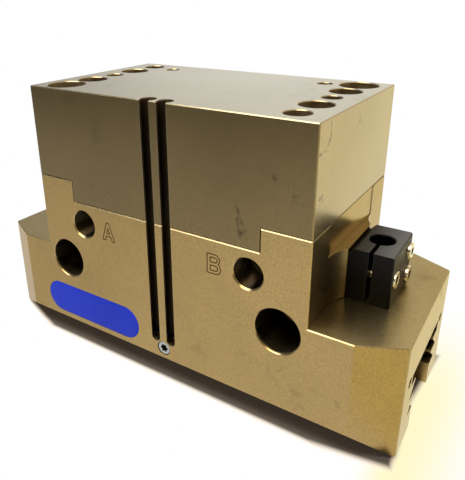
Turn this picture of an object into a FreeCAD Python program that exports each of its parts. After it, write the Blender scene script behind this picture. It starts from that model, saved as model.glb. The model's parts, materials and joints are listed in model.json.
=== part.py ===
import FreeCAD, Part
import math
import os
from FreeCAD import Vector

# Two-jaw parallel gripper with an oval piston, a wedge hook and springs that hold the grip.
# +X is the jaw travel, -Y the front with the air ports, +Z points to the mounting face.
# The origin is in the middle of the plane of the jaws' finger faces. All sizes are millimetres.

# Outer form of the housing, heights above its underside
OVERALL_LENGTH = 160.0
BLOCK_LENGTH = 106.0
WIDTH = 64.0
SHOULDER_HEIGHT = 37.3
SEAM_HEIGHT = 64.8
TOTAL_HEIGHT = 96.8
TONGUE_LENGTH = 74.4
TONGUE_DROP = 7.6
END_CHAMFER_X = 13.5
END_CHAMFER_Y = 6.5
BOTTOM_BEVEL = 6.0
EDGE_BREAK = 0.3

# Jaws and their toothed guide
JAW_PROUD = 1.0
JAW_STROKE = 16.0
JAW_GAP = 2.0
GUIDE_TIP_WIDTH = 23.0
GUIDE_ROOT_WIDTH = 33.2
GUIDE_HEIGHT = 22.5
FIRST_LEDGE = 7.8
TOOTH_PITCH = 5.4
TOOTH_COUNT = 2
TOOTH_TIP_LAND = 0.8
TOOTH_ROOT_LAND = 0.6
GUIDE_CLEARANCE = 0.06
JAW_HEAD_ROOM = 0.3
JAW_EDGE_BREAK = 0.5
FINGER_SCREW_RADIUS = 3.4
FINGER_SCREW_DEPTH = 14.0
FINGER_SCREW_SPACING = 24.0
FINGER_SCREW_FROM_END = 9.0
FINGER_SEAT_RADIUS = 6.0
FINGER_SEAT_DEPTH = 3.0

# Wedge hook, rod and piston
PISTON_STROKE = 16.0
HOOK_HEIGHT = 13.0
HOOK_BASE_HALF = 18.0
HOOK_SINK = 0.8
HOOK_THICKNESS = 12.0
FLANGE_WIDTH = 6.0
FLANGE_REACH = 2.6
HOOK_CLEARANCE = 0.08
CHAMBER_CLEARANCE = 1.0
ROD_RADIUS = 6.0
ROD_CLEARANCE = 0.3
ROD_SPIGOT = 3.0
BUSH_WALL = 2.0
BUSH_LENGTH = 4.2
ROD_FIT = 0.05
ROD_SEAL_WALL = 3.0
ROD_SEAL_LENGTH = 1.9
RETAINER_THICKNESS = 0.8
CHAMBER_HEIGHT = 6.8
BORE_RADIUS = 20.0
BORE_CENTRES = 26.0
PISTON_FIT = 0.1
PISTON_HEIGHT = 14.0
PISTON_REST_GAP = 0.3
SEAL_GROOVE_DEPTH = 2.4
SEAL_HEIGHT = 3.4
SEAL_FROM_BOTTOM = 1.1
RING_HEIGHT = 3.0
RING_GROOVE_DEPTH = 1.2
RING_FROM_BOTTOM = 6.2
SEAL_FIT = 0.05
MAGNET_RADIUS = 2.0
MAGNET_LENGTH = 3.0
MAGNET_DROP = 2.6
ROD_RING_WALL = 1.5
ROD_RING_HEIGHT = 1.5

# Closing springs in the upper block
CAVITY_PLAY = 0.5
MOUNT_WALL = 6.0
SPRING_OFFSET = 17.5
SPRING_RADIUS = 9.2
SPRING_WIRE = 3.0
SPRING_OPEN_TURNS = 5
SPRING_END_TURNS = 1
SPRING_END_PITCH = 3.3
SPRING_LINKS_PER_TURN = 12
SPRING_SIDES = 6
SPRING_POCKET_DEPTH = 8.0
SPRING_PLAY = 0.4
SPRING_SEAT_GAP = 0.1

# Gasket, pins and broken edges of the seam
GASKET_WIDTH = 1.8
GASKET_DEPTH = 1.4
GASKET_WALL = 1.0
GASKET_PLAY = 0.05
DOWEL_RADIUS = 3.0
DOWEL_LENGTH = 14.0
DOWEL_SPACING = 82.0
TONGUE_FIT = 0.03
SEAM_BREAK = 0.35

# Screws
PIN_FIT = 0.05
HOUSING_SCREW_RADIUS = 3.0
HOUSING_HEAD_RADIUS = 5.0
HOUSING_HEAD_HEIGHT = 6.0
HOUSING_SCREW_DEPTH = 22.0
HOUSING_SCREW_GRIP = 15.0
HOUSING_SCREW_SPACING_Y = 23.2
HEAD_PLAY = 0.25
SCREW_END_ROOM = 1.0
SHANK_PLAY = 0.3
HEX_SHARE = 0.5
PISTON_SCREW_RADIUS = 3.0
PISTON_SCREW_HEAD = 5.0
PISTON_SCREW_HEAD_HEIGHT = 5.0
PISTON_SCREW_GRIP = 12.0

# Mounting face
MOUNT_SPACING_X = 86.8
MOUNT_SPACING_Y = 48.4
MOUNT_THREAD_RADIUS = 4.0
MOUNT_THREAD_DEPTH = 20.0
SLEEVE_SEAT_RADIUS = 6.5
SLEEVE_SEAT_DEPTH = 5.0
HOLE_BREAK = 0.25
LOCATING_HOLE_RADIUS = 3.2
LOCATING_HOLE_DEPTH = 12.0
DIRECT_PORT_X = 32.3
DIRECT_PORT_Y = 21.7
DIRECT_PORT_RADIUS = 2.5
DIRECT_PORT_DEPTH = 9.0
DIRECT_PLUG_LENGTH = 6.0
DIRECT_PLUG_SINK = 0.5

# Front face, heights above the underside
PORT_X = 33.4
PORT_HEIGHT = 49.2
PORT_RADIUS = 4.86
PORT_DEPTH = 10.0
PORT_COUNTERSINK = 0.6
SIDE_BORE_X = 43.5
SIDE_BORE_HEIGHT = 33.0
SIDE_BORE_RADIUS = 7.45
SIDE_BORE_DEPTH = 17.0
SIDE_BORE_BREAK = 0.35
DRILL_POINT_ANGLE = 118.0
SENSOR_SLOT_PITCH = 6.4
SENSOR_SLOT_MIDDLE = 0.5
SENSOR_SLOT_MOUTH = 3.6
SENSOR_SLOT_RADIUS = 2.5
SENSOR_SLOT_DEPTH = 5.0
SENSOR_SLOT_END = 12.0
STOP_SCREW_X = 0.5
STOP_SCREW_HEIGHT = 9.9
STOP_SCREW_RADIUS = 2.6
STOP_SCREW_LENGTH = 7.0
STOP_SCREW_SINK = 0.2
LABEL_LENGTH = 46.1
LABEL_HEIGHT = 12.9
LABEL_X = -33.5
LABEL_MIDDLE = 14.5
LABEL_RECESS = 0.25

# End faces and end walls
END_HOLE_SPACING = 39.0
END_HOLE_HEIGHT = 22.0
END_HOLE_RADIUS = 1.65
END_HOLE_DEPTH = 8.0
BOSS_PROUD = 2.8
BOSS_FACE_WIDTH = 21.2
BOSS_FOOT_WIDTH = 38.6
BOSS_HEIGHT = 17.0
WALL_RELIEF = 0.25
SENSOR_HOLE_RADIUS = 4.3

# Sensor bracket on the right shoulder and its screws
BRACKET_LENGTH = 21.0
BRACKET_WIDTH = 13.6
BRACKET_HEIGHT = 17.1
BRACKET_MIDDLE_Y = 0.6
BRACKET_BORE_RADIUS = 4.0
BRACKET_BORE_Y = 1.0
BRACKET_BORE_BREAK = 0.3
BRACKET_SLIT = 1.3
BRACKET_ROUND = 0.8
BRACKET_BACK_CHAMFER = 1.8
SMALL_SCREW_RADIUS = 1.5
SMALL_HEAD_RADIUS = 2.75
SMALL_HEAD_HEIGHT = 2.6
CLAMP_HEAD_SINK = 2.1
MOUNT_HEAD_SINK = 1.6
CLAMP_SCREW_FROM_FRONT = 4.4
CLAMP_SCREW_HEIGHT = 8.2
CLAMP_SCREW_GRIP = 9.5
MOUNT_SCREW_FROM_BACK = 2.7
MOUNT_SCREW_LOW = 3.8
MOUNT_SCREW_SPACING = 8.2
MOUNT_SCREW_GRIP = 6.0

# Switch cams in the tops of the jaws
CAM_LENGTH = 22.0
CAM_WIDTH = 8.0
CAM_THICKNESS = 4.0
CAM_FROM_END = 3.0
CAM_PLAY = 0.05
CAM_HEAD_HEIGHT = 1.6
CAM_SCREW_GRIP = 6.0

# How far a cutter runs past the face that it cuts
PAST = 1.0

# Places worked out from the sizes above
UNDERSIDE = JAW_PROUD
SHOULDER = UNDERSIDE + SHOULDER_HEIGHT
SEAM = UNDERSIDE + SEAM_HEIGHT
TONGUE_FACE = SEAM - TONGUE_DROP
MOUNT_FACE = UNDERSIDE + TOTAL_HEIGHT
GUIDE_CEILING = UNDERSIDE + GUIDE_HEIGHT
CHAMBER_CEILING = GUIDE_CEILING + CHAMBER_HEIGHT
SEAL_SEAT = CHAMBER_CEILING + BUSH_LENGTH
BORE_FLOOR = SEAL_SEAT + ROD_SEAL_LENGTH + RETAINER_THICKNESS
PISTON_BOTTOM = BORE_FLOOR + PISTON_REST_GAP
PISTON_TOP = PISTON_BOTTOM + PISTON_HEIGHT
CAVITY_CEILING = MOUNT_FACE - MOUNT_WALL
END = OVERALL_LENGTH / 2
WALL = BLOCK_LENGTH / 2
FRONT = -WIDTH / 2
BACK = WIDTH / 2
WEDGE_SLOPE = JAW_STROKE / PISTON_STROKE
HOOK_BOTTOM = HOOK_SINK
HOOK_TOP = HOOK_BOTTOM + HOOK_HEIGHT
JAW_TOP = GUIDE_CEILING - JAW_HEAD_ROOM
JAW_INNER = JAW_GAP / 2
JAW_OUTER = END - JAW_STROKE
BOSS_FACE = WALL + BOSS_PROUD
BRACKET_X = BOSS_FACE + BRACKET_WIDTH / 2
BRACKET_FRONT = BRACKET_MIDDLE_Y - BRACKET_LENGTH / 2
BRACKET_REAR = BRACKET_MIDDLE_Y + BRACKET_LENGTH / 2
SEAL_POCKET_RADIUS = ROD_RADIUS + ROD_SEAL_WALL
BUSH_RADIUS = ROD_RADIUS + BUSH_WALL
SPRING_FLOOR = PISTON_TOP - SPRING_POCKET_DEPTH
HEAD_SEAT = MOUNT_FACE - HOUSING_SCREW_DEPTH
REACH = OVERALL_LENGTH

X = Vector(1, 0, 0)
Y = Vector(0, 1, 0)
Z = Vector(0, 0, 1)


def block(x0, x1, y0, y1, z0, z1):
    """Box between two corners."""
    return Part.makeBox(x1 - x0, y1 - y0, z1 - z0, Vector(x0, y0, z0))


def rod(radius, start, direction, length):
    """Cylinder from a point along a direction."""
    return Part.makeCylinder(radius, length, start, direction)


def tube(outer, inner, start, direction, length):
    """Ring or sleeve from a point along a direction."""
    return rod(outer, start, direction, length).cut(rod(inner, start, direction, length))


def prism(points, direction):
    """Closed polygon carried along a vector."""
    return Part.Face(Part.makePolygon(points + [points[0]])).extrude(direction)


def oval(centres, radius, z0, z1):
    """Upright prism with straight sides and round ends, its long way along X."""
    half = centres / 2
    right = Vector(half, radius, z0), Vector(half + radius, 0, z0), Vector(half, -radius, z0)
    left = Vector(-half, -radius, z0), Vector(-half - radius, 0, z0), Vector(-half, radius, z0)
    edges = [
        Part.Arc(*right).toShape(),
        Part.LineSegment(right[2], left[0]).toShape(),
        Part.Arc(*left).toShape(),
        Part.LineSegment(left[2], right[0]).toShape(),
    ]
    return Part.Face(Part.Wire(edges)).extrude(Z * (z1 - z0))


def oval_ring(inner, wall, z0, z1):
    """Ring that follows the oval bore, from one radius outwards."""
    return oval(BORE_CENTRES, inner + wall, z0, z1).cut(oval(BORE_CENTRES, inner, z0, z1))


def drilled(radius, mouth, direction, depth):
    """Blind drilled hole with a cone at its end."""
    point = radius / math.tan(math.radians(DRILL_POINT_ANGLE / 2))
    end = mouth + direction * depth
    return rod(radius, mouth, direction, depth).fuse(Part.makeCone(radius, 0, point, end, direction))


def countersink(radius, size, mouth, direction):
    """Cone that breaks the mouth of a hole."""
    return Part.makeCone(radius + size, radius, size, mouth, direction)


def hexagon(across_flats, start, direction, depth):
    """Six-sided socket."""
    radius = across_flats / math.sqrt(3)
    turn = FreeCAD.Rotation(Z, direction)
    corners = []
    for i in range(6):
        angle = math.radians(60 * i)
        flat = Vector(radius * math.cos(angle), radius * math.sin(angle), 0)
        corners.append(start + turn.multVec(flat))
    return prism(corners, direction * depth)


def cap_screw(shank_radius, head_radius, head_height, grip, seat, direction):
    """Socket cap screw: the head stands on the seat, the shank goes the other way."""
    head = rod(head_radius, seat, direction, head_height)
    shank = rod(shank_radius, seat, direction * -1, grip)
    socket_depth = head_height * HEX_SHARE
    top = seat + direction * (head_height - socket_depth)
    socket = hexagon(head_radius, top, direction, socket_depth)
    return head.fuse(shank).cut(socket).removeSplitter()


def grub_screw(radius, start, direction, length):
    """Headless screw with a socket in the end that points along the direction."""
    socket_depth = length * HEX_SHARE
    top = start + direction * (length - socket_depth)
    return rod(radius, start, direction, length).cut(hexagon(radius, top, direction, socket_depth))


def mirrored(shape):
    """Copy on the other side of the middle plane of the jaws."""
    return shape.mirror(Vector(0, 0, 0), X)


def edges_on(shape, test):
    """Edges whose middle point passes a test."""
    return [edge for edge in shape.Edges if test(edge.CenterOfMass)]


def near(a, b):
    return abs(a - b) < 1e-6


def save(name, *solids):
    """Writes one node, a single solid or a group of like solids."""
    shape = solids[0] if len(solids) == 1 else Part.makeCompound(list(solids))
    shape.exportStep("parts/" + name + ".step")


def guide_profile(x, bottom, top, play):
    """Toothed outline of the guide in the plane x, with ledges below and slopes above each groove."""
    tip = GUIDE_TIP_WIDTH / 2 - play
    root = GUIDE_ROOT_WIDTH / 2 - play
    side = [(tip, bottom)]
    for i in range(TOOTH_COUNT):
        ledge = UNDERSIDE + FIRST_LEDGE + TOOTH_PITCH * i + play
        next_ledge = ledge + TOOTH_PITCH
        side += [(tip, ledge), (root, ledge), (root, ledge + TOOTH_ROOT_LAND - 2 * play)]
        side.append((tip, next_ledge - TOOTH_TIP_LAND - 2 * play))
    last = UNDERSIDE + FIRST_LEDGE + TOOTH_PITCH * TOOTH_COUNT + play
    side += [(tip, last), (root, last), (root, top)]
    right = [Vector(x, y, z) for y, z in side]
    left = [Vector(x, -y, z) for y, z in reversed(side)]
    return right + left


def boss():
    """Pad on the right end wall whose flanks run out into the wall in hollow curves."""
    half = BOSS_FACE_WIDTH / 2
    foot = BOSS_FOOT_WIDTH / 2
    run = foot - half
    radius = (run ** 2 + BOSS_PROUD ** 2) / (2 * BOSS_PROUD)
    sweep = math.asin(run / radius) / 2
    bend = Vector(radius * (1 - math.cos(sweep)), radius * math.sin(sweep), 0)
    low = SHOULDER - EDGE_BREAK
    front_foot = Vector(WALL, -foot, low)
    front_face = Vector(BOSS_FACE, -half, low)
    back_face = Vector(BOSS_FACE, half, low)
    back_foot = Vector(WALL, foot, low)
    inside_back = Vector(WALL - BOSS_PROUD, foot, low)
    inside_front = Vector(WALL - BOSS_PROUD, -foot, low)
    edges = [
        Part.Arc(front_foot, front_foot + Vector(bend.x, bend.y, 0), front_face).toShape(),
        Part.LineSegment(front_face, back_face).toShape(),
        Part.Arc(back_face, back_foot + Vector(bend.x, -bend.y, 0), back_foot).toShape(),
        Part.LineSegment(back_foot, inside_back).toShape(),
        Part.LineSegment(inside_back, inside_front).toShape(),
        Part.LineSegment(inside_front, front_foot).toShape(),
    ]
    return Part.Face(Part.Wire(edges)).extrude(Z * (BOSS_HEIGHT + EDGE_BREAK))


def mount_screw_places():
    """Axis points of the two bracket screws on the face of the right boss."""
    y = BRACKET_REAR - MOUNT_SCREW_FROM_BACK
    low = SHOULDER + MOUNT_SCREW_LOW
    return [Vector(BOSS_FACE, y, low), Vector(BOSS_FACE, y, low + MOUNT_SCREW_SPACING)]


def sensor_slots():
    """Two upright slots in the front, narrow at the mouth, round inside and rounded at the lower end."""
    cut = []
    low = UNDERSIDE + SENSOR_SLOT_END
    half = SENSOR_SLOT_MOUTH / 2
    for side in (-1, 1):
        x = SENSOR_SLOT_MIDDLE + side * SENSOR_SLOT_PITCH / 2
        inner = FRONT + SENSOR_SLOT_DEPTH - SENSOR_SLOT_RADIUS
        mouth = block(x - half, x + half, FRONT - PAST, inner, low + half, MOUNT_FACE + PAST)
        round_end = rod(half, Vector(x, FRONT - PAST, low + half), Y, inner - FRONT + PAST)
        hollow = rod(SENSOR_SLOT_RADIUS, Vector(x, inner, low + half), Z, MOUNT_FACE + PAST - low - half)
        cut += [mouth, round_end, hollow]
    return cut


def groove_along(middle, outward, across, way):
    """V-shaped cutter along a line of a face, as deep as the broken edges of the two blocks are wide."""
    outside = middle + outward * PAST
    spread = across * (SEAM_BREAK + PAST)
    return prism([outside - spread, middle - outward * SEAM_BREAK, outside + spread], way)


def seam_grooves():
    """Groove that the broken edges leave along the seam, on all four sides of the blocks."""
    half = TONGUE_LENGTH / 2
    cut = []
    for y, outward in ((FRONT, Y * -1), (BACK, Y)):
        for x0, x1, z in ((-WALL, -half, SEAM), (-half, half, TONGUE_FACE), (half, WALL, SEAM)):
            cut.append(groove_along(Vector(x0, y, z), outward, Z, X * (x1 - x0)))
        for x in (-half, half):
            cut.append(groove_along(Vector(x, y, TONGUE_FACE), outward, X, Z * TONGUE_DROP))
    for x, outward in ((-WALL, X * -1), (WALL, X)):
        cut.append(groove_along(Vector(x, FRONT, SEAM), outward, Z, Y * WIDTH))
    return cut


def base_block():
    """Lower prism with chamfered corners in plan and bevelled lower long edges."""
    plan = [
        (END, FRONT + END_CHAMFER_Y), (END, BACK - END_CHAMFER_Y),
        (END - END_CHAMFER_X, BACK), (-END + END_CHAMFER_X, BACK),
        (-END, BACK - END_CHAMFER_Y), (-END, FRONT + END_CHAMFER_Y),
        (-END + END_CHAMFER_X, FRONT), (END - END_CHAMFER_X, FRONT),
    ]
    solid = prism([Vector(x, y, UNDERSIDE) for x, y in plan], Z * SHOULDER_HEIGHT)
    rim = edges_on(solid, lambda p: near(p.z, SHOULDER) or near(p.z, UNDERSIDE + SHOULDER_HEIGHT / 2))
    solid = solid.makeChamfer(EDGE_BREAK, rim)
    for y, inward in ((FRONT, 1), (BACK, -1)):
        corner = [
            Vector(-REACH, y - inward * PAST, UNDERSIDE + BOTTOM_BEVEL + PAST),
            Vector(-REACH, y - inward * PAST, UNDERSIDE - PAST),
            Vector(-REACH, y + inward * (BOTTOM_BEVEL + PAST), UNDERSIDE - PAST),
        ]
        solid = solid.cut(prism(corner, X * (2 * REACH)))
    return solid


def guide_housing():
    """Lower block: guide slot, hook chamber, cylinder bore, ports, slots and end bosses."""
    middle = block(-WALL, WALL, FRONT, BACK, SHOULDER - 2 * EDGE_BREAK, SEAM)
    corners = edges_on(middle, lambda p: near(abs(p.x), WALL) and near(abs(p.y), BACK))
    middle = middle.makeChamfer(EDGE_BREAK, corners)
    pad = boss()
    solid = base_block().fuse([middle, pad, mirrored(pad)])
    half_tongue = TONGUE_LENGTH / 2 + TONGUE_FIT
    cuts = [block(-half_tongue, half_tongue, FRONT - PAST, BACK + PAST, TONGUE_FACE, SEAM + PAST)]
    slot = guide_profile(-REACH, UNDERSIDE - PAST, GUIDE_CEILING, 0)
    cuts.append(prism(slot, X * (2 * REACH)))
    hook_high = HOOK_BASE_HALF - WEDGE_SLOPE * (GUIDE_CEILING - HOOK_BOTTOM - PISTON_STROKE)
    chamber_x = max(hook_high, ROD_RADIUS) + CHAMBER_CLEARANCE
    chamber_y = HOOK_THICKNESS / 2 + FLANGE_REACH + CHAMBER_CLEARANCE
    cuts.append(block(-chamber_x, chamber_x, -chamber_y, chamber_y, GUIDE_CEILING - PAST, CHAMBER_CEILING))
    cuts.append(rod(BUSH_RADIUS, Vector(0, 0, CHAMBER_CEILING - PAST), Z, BUSH_LENGTH + 2 * PAST))
    cuts.append(rod(SEAL_POCKET_RADIUS, Vector(0, 0, SEAL_SEAT), Z, BORE_FLOOR - SEAL_SEAT + PAST))
    cuts.append(oval(BORE_CENTRES, BORE_RADIUS, BORE_FLOOR, SEAM + PAST))
    cuts.append(oval_ring(BORE_RADIUS + GASKET_WALL, GASKET_WIDTH, TONGUE_FACE - GASKET_DEPTH, SEAM + PAST))
    for side in (-1, 1):
        port = Vector(side * PORT_X, FRONT, UNDERSIDE + PORT_HEIGHT)
        cuts.append(drilled(PORT_RADIUS, port, Y, PORT_DEPTH))
        cuts.append(countersink(PORT_RADIUS, PORT_COUNTERSINK, port, Y))
        bore = Vector(side * SIDE_BORE_X, FRONT, UNDERSIDE + SIDE_BORE_HEIGHT)
        cuts.append(drilled(SIDE_BORE_RADIUS, bore, Y, SIDE_BORE_DEPTH))
        cuts.append(countersink(SIDE_BORE_RADIUS, SIDE_BORE_BREAK, bore, Y))
        for y in (-1, 1):
            hole = Vector(side * END, y * END_HOLE_SPACING / 2, UNDERSIDE + END_HOLE_HEIGHT)
            cuts.append(drilled(END_HOLE_RADIUS, hole, X * -side, END_HOLE_DEPTH))
            thread = Vector(side * MOUNT_SPACING_X / 2, y * HOUSING_SCREW_SPACING_Y / 2, SEAM)
            thread_depth = HOUSING_SCREW_GRIP + SCREW_END_ROOM
            cuts.append(rod(HOUSING_SCREW_RADIUS + PIN_FIT, thread, Z * -1, thread_depth))
        pin = Vector(side * DOWEL_SPACING / 2, 0, SEAM)
        cuts.append(rod(DOWEL_RADIUS + PIN_FIT, pin, Z * -1, DOWEL_LENGTH / 2))
        sensor = Vector(side * BRACKET_X, BRACKET_BORE_Y, GUIDE_CEILING - PAST)
        cuts.append(rod(SENSOR_HOLE_RADIUS, sensor, Z, SHOULDER - GUIDE_CEILING + 2 * PAST))
    relief_y = BOSS_FOOT_WIDTH / 2
    relief = block(WALL - WALL_RELIEF, WALL + PAST, -relief_y, relief_y, SHOULDER + BOSS_HEIGHT, SEAM + PAST)
    relief_start = Vector(WALL - WALL_RELIEF, -relief_y, SEAM)
    relief_groove = groove_along(relief_start, X, Z, Y * (2 * relief_y))
    hole_depth = MOUNT_SCREW_GRIP + SCREW_END_ROOM
    holes = [rod(SMALL_SCREW_RADIUS + PIN_FIT, p, X * -1, hole_depth) for p in mount_screw_places()]
    for cut in [relief, relief_groove] + holes:
        cuts += [cut, mirrored(cut)]
    stop = Vector(STOP_SCREW_X, FRONT, UNDERSIDE + STOP_SCREW_HEIGHT)
    cuts.append(rod(STOP_SCREW_RADIUS + PIN_FIT, stop, Y, STOP_SCREW_LENGTH + STOP_SCREW_SINK))
    cuts.append(label_recess())
    return solid.cut(cuts + sensor_slots() + seam_grooves()).removeSplitter()


def label_recess():
    """Shallow recess with round ends for the label on the front."""
    half = (LABEL_LENGTH - LABEL_HEIGHT) / 2
    radius = LABEL_HEIGHT / 2
    z = UNDERSIDE + LABEL_MIDDLE
    middle = block(LABEL_X - half, LABEL_X + half, FRONT - PAST, FRONT + LABEL_RECESS, z - radius, z + radius)
    ends = [rod(radius, Vector(LABEL_X + s * half, FRONT - PAST, z), Y, PAST + LABEL_RECESS) for s in (-1, 1)]
    return middle.fuse(ends)


def cylinder_housing():
    """Upper block: spring cavity, tongue, mounting holes and the upper part of the sensor slots."""
    solid = block(-WALL, WALL, FRONT, BACK, SEAM, MOUNT_FACE)
    rim = edges_on(solid, lambda p: not near(p.z, SEAM))
    solid = solid.makeChamfer(EDGE_BREAK, rim)
    half = TONGUE_LENGTH / 2
    solid = solid.fuse(block(-half, half, FRONT, BACK, TONGUE_FACE, SEAM + PAST))
    cuts = [oval(BORE_CENTRES, BORE_RADIUS + CAVITY_PLAY, TONGUE_FACE - PAST, CAVITY_CEILING)]
    for x in (-1, 1):
        for y in (-1, 1):
            place = Vector(x * MOUNT_SPACING_X / 2, y * MOUNT_SPACING_Y / 2, MOUNT_FACE)
            cuts.append(drilled(MOUNT_THREAD_RADIUS, place, Z * -1, MOUNT_THREAD_DEPTH))
            if x == y:
                cuts.append(rod(SLEEVE_SEAT_RADIUS, place, Z * -1, SLEEVE_SEAT_DEPTH))
                cuts.append(countersink(SLEEVE_SEAT_RADIUS, HOLE_BREAK, place, Z * -1))
            else:
                cuts.append(countersink(MOUNT_THREAD_RADIUS, HOLE_BREAK, place, Z * -1))
            screw = Vector(x * MOUNT_SPACING_X / 2, y * HOUSING_SCREW_SPACING_Y / 2, MOUNT_FACE)
            cuts.append(rod(HOUSING_HEAD_RADIUS + HEAD_PLAY, screw, Z * -1, HOUSING_SCREW_DEPTH))
            cuts.append(countersink(HOUSING_HEAD_RADIUS + HEAD_PLAY, HOLE_BREAK, screw, Z * -1))
            cuts.append(rod(HOUSING_SCREW_RADIUS + SHANK_PLAY, screw, Z * -1, MOUNT_FACE - SEAM + PAST))
        locating = Vector(x * MOUNT_SPACING_X / 2, 0, MOUNT_FACE)
        cuts.append(drilled(LOCATING_HOLE_RADIUS, locating, Z * -1, LOCATING_HOLE_DEPTH))
        cuts.append(countersink(LOCATING_HOLE_RADIUS, HOLE_BREAK, locating, Z * -1))
        pin = Vector(x * DOWEL_SPACING / 2, 0, SEAM)
        cuts.append(rod(DOWEL_RADIUS + PIN_FIT, pin, Z, DOWEL_LENGTH / 2))
        port = Vector(x * DIRECT_PORT_X, DIRECT_PORT_Y, MOUNT_FACE)
        cuts.append(drilled(DIRECT_PORT_RADIUS + PIN_FIT, port, Z * -1, DIRECT_PORT_DEPTH))
        cuts.append(countersink(DIRECT_PORT_RADIUS + PIN_FIT, HOLE_BREAK, port, Z * -1))
    return solid.cut(cuts + sensor_slots() + seam_grooves()).removeSplitter()


def piston():
    """Oval piston with grooves for its seal and ring, spring pockets and the seat of the rod."""
    radius = BORE_RADIUS - PISTON_FIT
    solid = oval(BORE_CENTRES, radius, PISTON_BOTTOM, PISTON_TOP)
    seal_low = PISTON_BOTTOM + SEAL_FROM_BOTTOM
    ring_low = PISTON_BOTTOM + RING_FROM_BOTTOM
    cuts = [
        oval_ring(radius - SEAL_GROOVE_DEPTH, SEAL_GROOVE_DEPTH + PAST, seal_low, seal_low + SEAL_HEIGHT),
        oval_ring(radius - RING_GROOVE_DEPTH, RING_GROOVE_DEPTH + PAST, ring_low, ring_low + RING_HEIGHT),
    ]
    pocket = SPRING_RADIUS + SPRING_WIRE / 2 + SPRING_PLAY
    for side in (-1, 1):
        cuts.append(rod(pocket, Vector(side * SPRING_OFFSET, 0, SPRING_FLOOR), Z, SPRING_POCKET_DEPTH + PAST))
    head_seat = PISTON_TOP - PISTON_SCREW_HEAD_HEIGHT - ROD_CLEARANCE
    cuts.append(rod(PISTON_SCREW_HEAD + HEAD_PLAY, Vector(0, 0, head_seat), Z, PISTON_HEIGHT))
    cuts.append(rod(PISTON_SCREW_RADIUS + SHANK_PLAY, Vector(0, 0, PISTON_BOTTOM), Z, PISTON_HEIGHT))
    cuts.append(rod(ROD_RADIUS + PIN_FIT, Vector(0, 0, PISTON_BOTTOM - PAST), Z, ROD_SPIGOT + PAST))
    ring = ROD_RADIUS + ROD_RING_WALL + PIN_FIT
    cuts.append(rod(ring, Vector(0, 0, PISTON_BOTTOM - PAST), Z, ROD_RING_HEIGHT + PAST))
    for x in magnet_places():
        place = Vector(x, -radius - PAST, PISTON_TOP - MAGNET_DROP)
        cuts.append(rod(MAGNET_RADIUS + PIN_FIT, place, Y, MAGNET_LENGTH + PAST + PIN_FIT))
    return solid.cut(cuts).removeSplitter()


def magnet_places():
    """Middle of each sensor slot along X."""
    return [SENSOR_SLOT_MIDDLE + side * SENSOR_SLOT_PITCH / 2 for side in (-1, 1)]


def hook_side(z):
    """Half width of the wedge at a height, wide at the bottom."""
    return HOOK_BASE_HALF - WEDGE_SLOPE * (z - HOOK_BOTTOM)


def wedge_hook():
    """Rod with a wedge at its foot; flanges along both slopes reach into the jaws."""
    half = HOOK_THICKNESS / 2
    wide = half + FLANGE_REACH
    outline = [
        Vector(-hook_side(HOOK_BOTTOM), -half, HOOK_BOTTOM),
        Vector(hook_side(HOOK_BOTTOM), -half, HOOK_BOTTOM),
        Vector(hook_side(HOOK_TOP), -half, HOOK_TOP),
        Vector(-hook_side(HOOK_TOP), -half, HOOK_TOP),
    ]
    flange_outline = [
        Vector(hook_side(HOOK_BOTTOM), -wide, HOOK_BOTTOM), Vector(hook_side(HOOK_TOP), -wide, HOOK_TOP),
        Vector(hook_side(HOOK_TOP) - FLANGE_WIDTH, -wide, HOOK_TOP),
        Vector(hook_side(HOOK_BOTTOM) - FLANGE_WIDTH, -wide, HOOK_BOTTOM),
    ]
    flange = prism(flange_outline, Y * (2 * wide))
    spigot = PISTON_BOTTOM + ROD_SPIGOT
    shaft = rod(ROD_RADIUS, Vector(0, 0, HOOK_TOP - HOOK_HEIGHT / 2), Z, spigot - HOOK_TOP + HOOK_HEIGHT / 2)
    solid = prism(outline, Y * HOOK_THICKNESS).fuse([flange, mirrored(flange), shaft])
    thread = rod(PISTON_SCREW_RADIUS + PIN_FIT, Vector(0, 0, spigot), Z * -1, PISTON_SCREW_GRIP)
    return solid.cut(thread).removeSplitter()


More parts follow.
